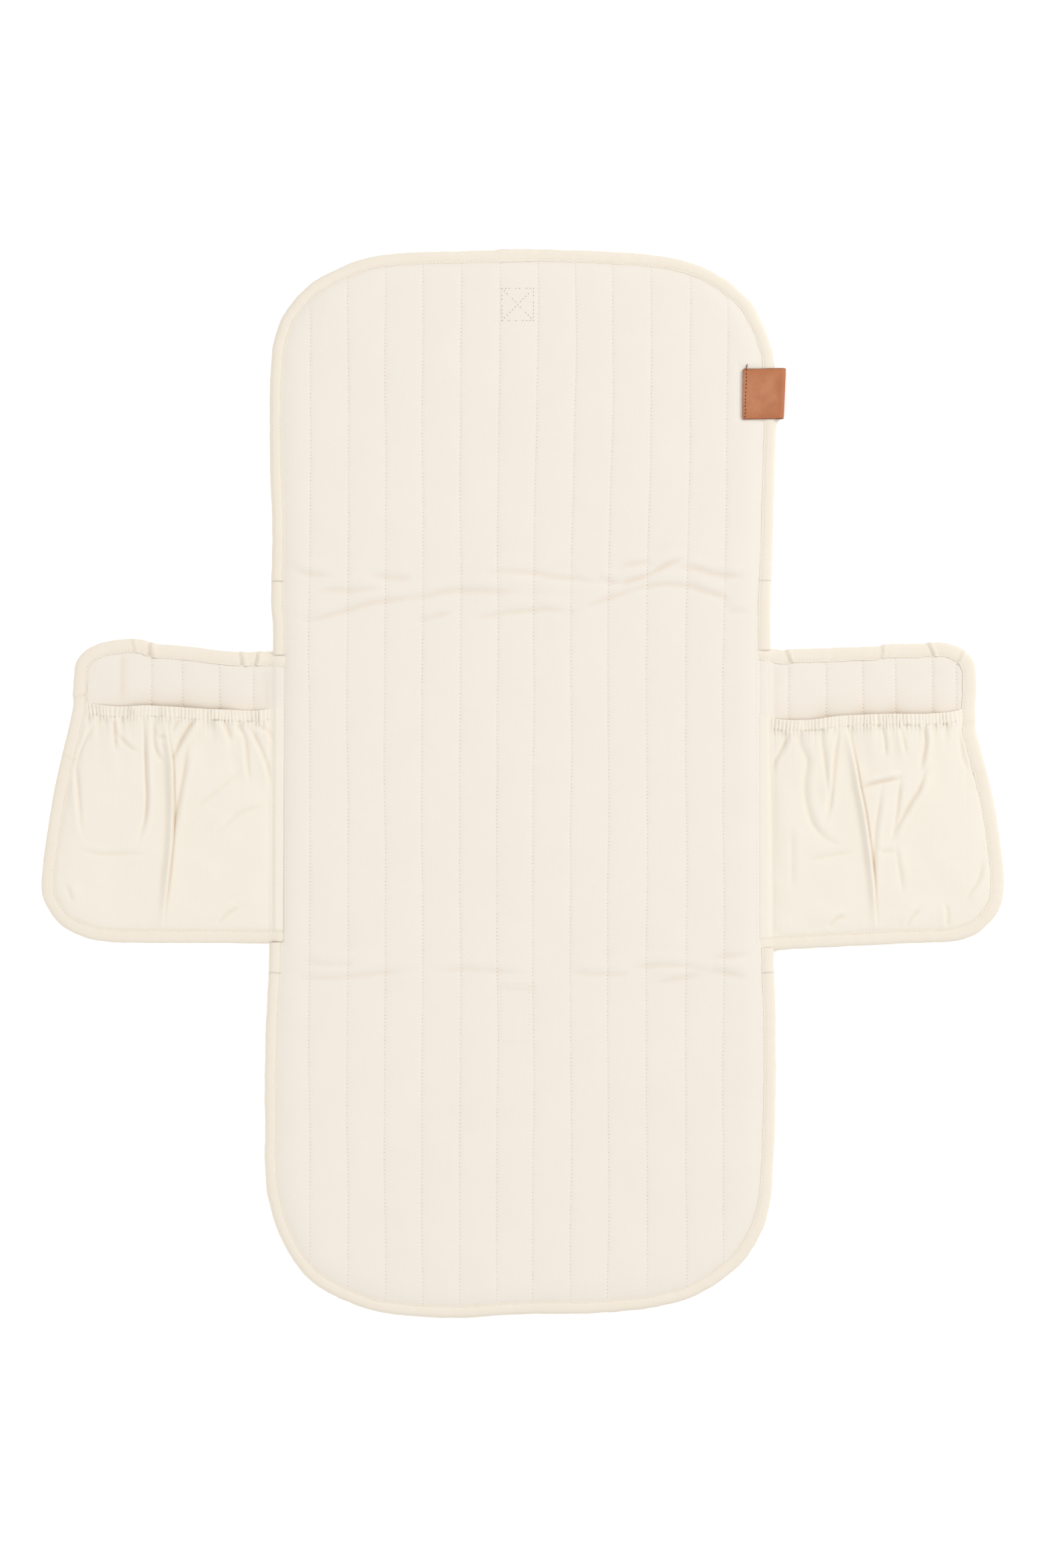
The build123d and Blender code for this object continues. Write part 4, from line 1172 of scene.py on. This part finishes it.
for side, wing in WING.items():
    word, rim, seed = wing["word"], wing["rim"], wing["seed"]
    inner, outer = side * (SEAM_X - 0.5), side * 328.5
    ends = (min(inner, outer), max(inner, outer))
    columns = spread([v for v in wing["lines"]], ends, 2.3)
    close = side * (SEAM_X + np.array([0.4, 1.1, 2.0, 2.9, 3.9, 5.0, 6.0, 7.0, 8.2]))
    columns = np.unique(np.round(np.concatenate([columns, close]), 3))
    c, y = np.meshgrid(columns, np.linspace(-113.5, 98.5, 126))
    x, _, _, depth = wing_surface(side, c, y)
    c, y, keep = pulled(c, y, depth, 3.9, rim)
    c = np.clip(c, *ends)
    x, top, low, depth = wing_surface(side, c, y)
    thin = np.minimum(0.45, (top - low) / 3)
    away, _ = nearest_line(c, wing["marks"])
    uv = np.stack([np.where(np.abs(c) < 175, 9.0, away), y / PITCH], -1)
    # Painted shadow of the pocket's mouth on the wing face above the hem, stronger beside the quilting lines,
    # plus painted shade in the face's hollows.
    shaded = mouth(side, x) / 4 * np.exp(-np.maximum(y - hem_line(side, x), 0) / 5.0)
    shaded *= 0.32 + 0.5 * np.exp(-away / 4)
    shaded = np.clip(shaded + hollows(top, 3, 3, 1.3), 0, 1)
    face = slab(f"{word}_wing_face_cloth", x, y, top, top - thin, keep, uv, None, shaded)
    dress(face, WING_COTTON)
    back = dress(slab(f"{word}_wing_backing_cloth", x, y, low + thin, low, keep, uv), WING_COTTON)
    fill = slab(f"{word}_wing_wadding_layer", x[::2], y[::2], (top - thin)[::2] - 0.04,
                (low + thin)[::2] + 0.04, keep[::2])
    dress(fill, WADDING)
    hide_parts(f"{word}_wing_face", f"seam_strip_{word}")
    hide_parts(f"{word}_wing_backing")
    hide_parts(f"{word}_wing_wadding")

    path = even(rim[(np.abs(rim[:, 0]) > SEAM_X - 1.6)], 1.3)
    climb = WING_EDGE + 0.45 + 1.45 * (1 - step_up(np.abs(path[:, 0]) - SEAM_X, 3.0, 11.0))
    edge, edge_run = bound_edge(f"{word}_wing_edge_binding", path, WING_BINDING, climb, seed + 10,
                                nicks=wing["nicks"])
    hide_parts(f"{word}_wing_binding")

    # The gathered pocket front and its hem: one surface, parted at the hem's stitching
    span = np.sort(np.array([side * (SEAM_X - 0.2), side * 322.0]))
    across = np.linspace(span[0], span[1], 290)
    line_y = hem_line(side, across)
    up = np.concatenate([np.linspace(0, 1, 136), 1 + np.linspace(0, 1, 19)[1:] ** 0.85])
    foot_y, sewn_y, top_y = -104.5, line_y - HEM, line_y + 0.14 * ruffle(across)
    py = np.where(up[:, None] <= 1, foot_y + up[:, None] * (sewn_y - foot_y)[None],
                  sewn_y[None] + (up[:, None] - 1) * (top_y - sewn_y)[None])
    px = np.tile(across, (len(up), 1))
    depth, _, _ = foot(np.column_stack([px.ravel(), py.ravel()]), rim)
    px, py, kept = pulled(px, py, depth.reshape(px.shape), 6.6, rim)
    depth = foot(np.column_stack([px.ravel(), py.ravel()]), rim)[0].reshape(px.shape)
    high = pocket_height(side, px, py, depth)
    # Painted shade in the pocket's folds and hollows, weaker beside the binding.
    painted_shade = hollows(high, 4, 3, 1.5) * np.clip((depth - WING_BINDING) / 3, 0.3, 1)
    rise = py - hem_line(side, px) + HEM
    lined = step_up(rise, 0.2, 1.6) * np.clip(mouth(side, px) / 2, 0, 1)
    over = np.clip((rise - HEM + 1.1) / 1.1, 0, 1)
    under_z = high - 0.45 - 1.25 * lined + (1 - np.sqrt(1 - over**2)) * (0.9 * lined)
    pocket = slab(f"{word}_pocket_cloth", px, py, high, under_z, kept, None, (0, 135), painted_shade)
    hem = slab(f"{word}_pocket_hem_band", px, py, high, under_z, kept, None, (135, len(up) - 1), painted_shade)
    for piece, node in ((pocket, "front"), (hem, "hem")):
        dress(piece, POCKET_COTTON)
        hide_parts(f"{word}_pocket_{node}")

    # The elastic inside the hem follows its gathers
    run_x = np.linspace(side * 172.0, side * 295.0, 250)
    turn = np.linspace(0, 2 * np.pi, 16, endpoint=False)
    band_x = np.broadcast_to(run_x[:, None], (250, 16))
    band_y = hem_line(side, band_x) - 3.7 + 2.3 * np.sign(np.cos(turn)) * np.abs(np.cos(turn)) ** 0.5
    band_d = foot(np.column_stack([band_x.ravel(), band_y.ravel()]), rim)[0].reshape(band_x.shape)
    band_z = pocket_height(side, band_x, band_y, band_d) - 0.90 + 0.24 * np.sin(turn)
    elastic = carried(f"{word}_pocket_elastic_band", np.stack([band_x, band_y, band_z], -1))
    dress(elastic, ELASTIC)
    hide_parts(f"{word}_pocket_elastic")

    # Stitches: the quilting above the pocket and on the back, the seam's topstitch, the hem and the binding
    runs = list(edge_run)
    for c_line in wing["lines"]:
        for up in (1.0, -1.0):
            low_y = hem_line(side, np.array([c_line]))[0] - 9 if up > 0 else -112.0
            ys = np.arange(math.ceil(low_y / PITCH), 99 / PITCH) * PITCH + PITCH / 2
            cc = np.full((len(ys), 1), c_line)
            sx, st, sl, sd = wing_surface(side, cc, ys[:, None])
            spot = np.column_stack([sx[:, 0] + 0.16 * (-1.0) ** np.arange(len(ys)), ys,
                                    (st if up > 0 else sl)[:, 0] - up * 0.06])
            spot = spot[sd[:, 0] > WING_BINDING - 0.3]
            runs.append((spot, np.gradient(spot, axis=0), np.tile([0, 0, up], (len(spot), 1))))
    top_run = smooth(wing["topstitch"], PITCH)
    spot_x, spot_y = top_run[:, 1], top_run[:, 0]
    spot_d = foot(top_run[:, ::-1], rim)[0]
    on_wing = wing_surface(side, spot_x, spot_y)[1]
    on_cloth = pocket_height(side, spot_x, spot_y, spot_d)
    spot_z = np.where(spot_y < hem_line(side, spot_x) - 0.4, on_cloth, on_wing)
    spot = np.column_stack([spot_x, spot_y, spot_z - 0.04])[spot_d > WING_BINDING - 0.3]
    runs.append((spot, np.gradient(spot, axis=0), np.tile([0, 0, 1.0], (len(spot), 1))))
    hem_x = np.arange(side * 170.0, side * 298.0, side * 2.5)
    hem_y = hem_line(side, hem_x) - HEM
    hem_d = foot(np.column_stack([hem_x, hem_y]), rim)[0]
    spot = np.column_stack([hem_x, hem_y, pocket_height(side, hem_x, hem_y, hem_d) - 0.20])
    runs.append((spot, np.gradient(spot, axis=0), np.tile([0, 0, 1.0], (len(spot), 1))))
    sewn = sewing(f"{word}_wing_stitches", runs)
    for piece in (face, back, fill, edge, pocket, hem, elastic, sewn):
        hinge(side, piece)
    wing.update(face=face, back=back, fill=fill, edge=edge, pocket=pocket, hem_piece=hem)


# Leather and tapes -----------------------------------------------------------

def strip(name, path, side, wide, thick, round_ends=(0.0, 0.0), dark=None, skew=None):
    """A flat strap: a rounded oblong carried along a path, narrowed to round its ends.

    The sewing coordinate is 1 at the strap's cut edges and 0 along its middle.
    """
    path = np.asarray(path, float)
    run = np.gradient(path, axis=0)
    run /= np.linalg.norm(run, axis=1, keepdims=True)
    side = np.asarray(side, float)
    up = np.cross(run, side)
    gone = np.concatenate([[0], np.cumsum(np.linalg.norm(np.diff(path, axis=0), axis=1))])
    slim = np.ones(len(path))
    for radius, far in ((round_ends[0], gone), (round_ends[1], gone[-1] - gone)):
        if radius:
            d = np.clip(far, 0, radius)
            inset = radius - np.sqrt(np.maximum(radius**2 - (radius - d) ** 2, 0))
            slim = np.minimum(slim, 1 - 2 * inset / wide)
    turn = np.linspace(0, 2 * np.pi, 40, endpoint=False)
    u = np.sign(np.cos(turn)) * np.abs(np.cos(turn)) ** 0.12
    v = np.sign(np.sin(turn)) * np.abs(np.sin(turn)) ** 0.45
    v = v * np.where(np.abs(u) > 0.985, 0.8, 1.0)
    u = u * (1 - 0.012 * (np.abs(v) > 0.9) * (np.abs(u) > 0.9))
    ragged = 0.16 * hills(gone, gone * 0, 7, 91)[:, None] * u[None]
    half = (wide / 2 * slim)[:, None] * u[None] + ragged
    p = path[:, None] + side * half[..., None] + up[:, None] * (thick / 2 * v)[None, :, None]
    tip = np.exp(-((np.minimum(gone, gone[-1] - gone) / 0.5) ** 2))
    rim = np.maximum(np.abs(half) / (wide / 2), tip[:, None])
    if dark is not None:
        rim = np.maximum(rim, dark[:, None])
    uv = np.stack([rim, np.broadcast_to((gone / 10)[:, None], rim.shape)], -1)
    return carried(name, p if skew is None else skew(p), uv)


# The loop: over the face, round the edge and back along the underside
bend_r = (LOOP_HIGH[2] - LOOP_LOW[2]) / 2 - 0.6
mid_z = (LOOP_HIGH[2] + LOOP_LOW[2]) / 2
turn_x = LOOP_HIGH[0] - 0.6 - bend_r
angle = np.linspace(0, np.pi, 26)
leg = np.linspace(LOOP_LOW[0] + 0.2, turn_x, 30)[:-1]
loop_y = (LOOP_LOW[1] + LOOP_HIGH[1]) / 2
leg_top = mid_z + bend_r + 0.70 * (1 - step_up(leg, LOOP_LOW[0], LOOP_LOW[0] + TAB_RAMP))
outline = np.vstack([
    np.column_stack([leg, leg_top]),
    np.column_stack([turn_x + bend_r * np.sin(angle), mid_z + bend_r * np.cos(angle)]),
    np.column_stack([leg[::-1], np.full(len(leg), mid_z - bend_r)])])
loop_path = np.column_stack([outline[:, 0], np.full(len(outline), loop_y), outline[:, 1]])
loop_path = even(loop_path, 0.4)
toward_fold = step_up(loop_path[:, 0], turn_x - 8, turn_x + 1) * 0.95


def lean(p):
    """The tab's slight slant: its folded end is a little shorter below and stands a little higher."""
    gone = (p[..., 0] - LOOP_LOW[0]) / (LOOP_HIGH[0] - LOOP_LOW[0])
    fallen = (LOOP_HIGH[1] - p[..., 1]) / (LOOP_HIGH[1] - LOOP_LOW[1])
    return p + np.stack([-(0.3 + 1.2 * gone) * fallen, 0.65 * gone - 0.35, 0 * gone], -1)


loop_wide = LOOP_HIGH[1] - LOOP_LOW[1]
loop = strip("leather_loop_tab", loop_path, (0, 1.0, 0), loop_wide, LEATHER_THICK, (1.2, 1.2), toward_fold, lean)
dress(loop, LEATHER)
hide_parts("leather_loop")
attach(loop, "flap")
TAB_STITCHES = 14
sew_y = np.linspace(LOOP_LOW[1] + 1.4, LOOP_HIGH[1] - 1.4, TAB_STITCHES)
sew_x = np.interp(sew_y, [LOOP_LOW[1], LOOP_HIGH[1]], [LOOP_LOW[0] + 1.7, LOOP_LOW[0] + 2.7])
sew_y = sew_y + 0.25 * hills(sew_y, sew_y * 0, 2.2, 98)
sew_x = sew_x + 0.30 * hills(sew_y, sew_y * 0, 2.6, 92)
sew = np.column_stack([sew_x, sew_y, np.interp(sew_x, leg, leg_top) + 0.60])
sew_back = sew * [1, 1, 0] + [0, 0, LOOP_LOW[2] + 0.03]
sew_up = np.repeat([[0, 0, 1.0], [0, 0, -1.0]], TAB_STITCHES, axis=0)
turn_in = stitches("leather_loop_stitches", np.vstack([sew, sew_back]),
                   np.tile([0.05, 1.0, 0], (2 * TAB_STITCHES, 1)), sew_up, 1.45, 0.80, 0.05)
dress(turn_in, BROWN_THREAD)
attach(turn_in, "flap")
tail = smooth([
    (LOOP_LOW[0] + 2.6, LOOP_HIGH[1] - 1.2, LOOP_HIGH[2] - 0.2),
    (LOOP_LOW[0] + 2.7, LOOP_HIGH[1] - 0.2, 7.2),
    (LOOP_LOW[0] + 2.9, LOOP_HIGH[1] + 1.2, 7.3),
    (LOOP_LOW[0] + 3.2, LOOP_HIGH[1] + 2.6, 7.4)], 0.35)
spin = np.linspace(0, 2 * np.pi, 8, endpoint=False)
tail_ring = tail[:, None] + 0.30 * np.stack([np.cos(spin), 0 * spin, np.sin(spin)], 1)[None]
tail_piece = dress(carried("leather_loop_thread_tail", tail_ring), BROWN_THREAD)
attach(tail_piece, "flap")

# The closing strap: sewn along the back of the flap, turned under, with its hook patch facing down
sewn_z, leaf_z = (SEWN_LOW[2] + SEWN_HIGH[2]) / 2, (LEAF_LOW[2] + LEAF_HIGH[2]) / 2
strap_x = (LEAF_LOW[0] + LEAF_HIGH[0]) / 2
turn_r = (sewn_z - leaf_z) / 2
angle = np.linspace(0, np.pi, 14)
turn_y = SEWN_HIGH[1] - 0.95 + turn_r * np.sin(angle)
turn_z = (sewn_z + leaf_z) / 2 + turn_r * np.cos(angle)
strap_path = np.vstack([
    [(SEWN_LOW[1] + 0.2, sewn_z), (SEWN_HIGH[1] - 1.0, sewn_z)],
    np.column_stack([turn_y, turn_z])[1:],
    [(LEAF_LOW[1] + 0.2, leaf_z)]])
strap_path = even(np.column_stack([np.full(len(strap_path), strap_x), strap_path]), 0.25)
strap = strip("closing_strap", strap_path, (1.0, 0, 0), LEAF_HIGH[0] - LEAF_LOW[0], 1.18, (2.0, 4.0))
dress(strap, LEATHER)
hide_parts("strap_sewn_leaf", "strap_free_leaf")
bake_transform(strap)


def tape(name, low, high, finish, seed, rough):
    """A small rounded oblong of tape whose underside is roughened by fine seeded hills."""
    x, y = np.meshgrid(np.linspace(low[0], high[0], 46), np.linspace(low[1], high[1], 52))
    cut = np.minimum(np.minimum(x - low[0], high[0] - x), np.minimum(y - low[1], high[1] - y))
    base = low[2] + 0.28 + rough * hills(x, y, 0.9, seed) + 0.22 * np.exp(-cut / 0.5)
    return dress(slab(name, x, y, np.full(x.shape, high[2] - 0.02), base), finish)


hook = tape("hook_tape_base", HOOK_LOW, HOOK_HIGH, HOOK_TAPE, 93, 0.02)
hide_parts("hook_patch")
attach(hook, "strap")
HOOK_GAP = 1.35
nx, ny = np.meshgrid(np.arange(HOOK_LOW[0] + 1.3, HOOK_HIGH[0] - 1, HOOK_GAP),
                     np.arange(HOOK_LOW[1] + 1.3, HOOK_HIGH[1] - 1, HOOK_GAP))
spots = np.column_stack([nx.ravel(), ny.ravel(), np.full(nx.size, HOOK_LOW[2] + 0.22)])
spots[:, 0] += 0.12 * hills(spots[:, 0], spots[:, 1], 1.1, 94)
hook_run, hook_up = np.tile([0.25, 0, -1.0], (len(spots), 1)), np.tile([0, 1.0, 0], (len(spots), 1))
nubs = stitches("hook_tape_hooks", spots, hook_run, hook_up, 0.42, 0.42, 0.0)
dress(nubs, HOOK_TAPE)
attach(nubs, "strap")
loop_tape = tape("loop_tape_base", PATCH_LOW, PATCH_HIGH, LOOP_TAPE, 95, 0.14)
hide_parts("loop_patch")
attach(loop_tape, "lower_panel")


def square_sewing(name, low, high, body, slot):
    """A stitched oblong on the underside, just inside a patch's edges."""
    a, b = low[:2] + 1.3, high[:2] - 1.3
    corners = np.array([a, (b[0], a[1]), b, (a[0], b[1]), a])
    runs = []
    for p, q in zip(corners[:-1], corners[1:]):
        count = int(round(np.linalg.norm(q - p) / PITCH))
        at = (np.arange(count) + 0.5)[:, None] / count
        line = np.column_stack([p + (q - p) * at, np.full(count, low[2] + 0.16)])
        runs.append((line, np.tile([*(q - p), 0.0], (count, 1)), np.tile([0, 0, -1.0], (count, 1))))
    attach(sewing(name, runs, THREAD, slot), body)


square_sewing("loop_tape_stitches", PATCH_LOW, PATCH_HIGH, "lower_panel", "loop_tape")
square_sewing("hook_tape_stitches", HOOK_LOW, HOOK_HIGH, "strap", "hook_tape")


# Sizes of the cloth sheets, worked out and not used ------------------------------

def cut_area(piece):
    """Flat area of a closed sheet in square metres: the area of its upward faces."""
    mesh = piece.data
    size, up = np.zeros(len(mesh.polygons)), np.zeros(len(mesh.polygons) * 3)
    mesh.polygons.foreach_get("area", size)
    mesh.polygons.foreach_get("normal", up)
    tall = np.abs(up.reshape(-1, 3)[:, 2])
    return float((size * tall).sum() / 2)


def lay(piece, grow=1.0):
    """Work out a sheet's cut oblong and its own flat area; nothing is done with them."""
    co = np.zeros(len(piece.data.vertices) * 3)
    piece.data.vertices.foreach_get("co", co)
    co = co.reshape(-1, 3)
    wide, long = np.ptp(co[:, 0]) * grow, np.ptp(co[:, 1]) * grow
    area = min(cut_area(piece) * grow * grow, wide * long)


for span, (face, backing, fill) in PAD.items():
    lay(face)
    lay(backing)
for side, wing in WING.items():
    lay(wing["face"])
    lay(wing["back"])
    lay(wing["pocket"], 1.08)


# Floor, light and camera -----------------------------------------------------

def ground(size):
    """The floor: one flat square, 0.4 mm below the pad."""
    corners = np.array([(-1, -1, 0), (1, -1, 0), (1, 1, 0), (-1, 1, 0)], float) * size / MM
    floor = make("floor", corners + [0, 0, -0.4], [np.array([[0, 1, 2, 3]])])
    f = Finish("floor_white", 0.9, Specular_IOR_Level=0.1)
    tone = f.cloud(6.0, None, 1.0)
    f.colour(f.mix(tone, shade(0.93, 0.93, 0.93), shade(0.95, 0.95, 0.95)))
    f.shader.inputs["Emission Color"].default_value = shade(1, 1, 1)
    f.shader.inputs["Emission Strength"].default_value = 0.22
    floor.data.materials.append(f.material)


def soft_light(name, place, size, power):
    """An oblong light that faces the pad's middle."""
    lamp = bpy.data.lights.new(name, "AREA")
    lamp.shape, lamp.size, lamp.size_y = "RECTANGLE", size[0], size[1]
    lamp.energy = power
    thing = bpy.data.objects.new(name, lamp)
    bpy.context.scene.collection.objects.link(thing)
    thing.location = place
    thing.rotation_mode = "QUATERNION"
    thing.rotation_quaternion = (-Vector(place)).to_track_quat("-Z", "Y")


ground(6.0)
soft_light("window_light", (3.0, 1.6, 2.3), (1.9, 1.9), 82.0)
soft_light("fill_light", (-2.4, -1.0, 3.2), (2.8, 2.8), 52.0)
world = bpy.data.worlds.new("studio")
bpy.context.scene.world = world
world.use_nodes = True
world.node_tree.nodes["Background"].inputs[0].default_value = (1.0, 1.0, 1.0, 1.0)
world.node_tree.nodes["Background"].inputs[1].default_value = 0.66
bpy.context.scene.view_settings.view_transform = "Standard"

lens = bpy.data.cameras.new("camera")
camera = bpy.data.objects.new("camera", lens)
bpy.context.scene.collection.objects.link(camera)
bpy.context.scene.camera = camera
camera.location = (0.0005, 0.0, 3.0)
lens.sensor_fit = "VERTICAL"
lens.sensor_height, lens.sensor_width = 36.0, 36.0
lens.lens = 36.0 * 2.9945 / 1.0636
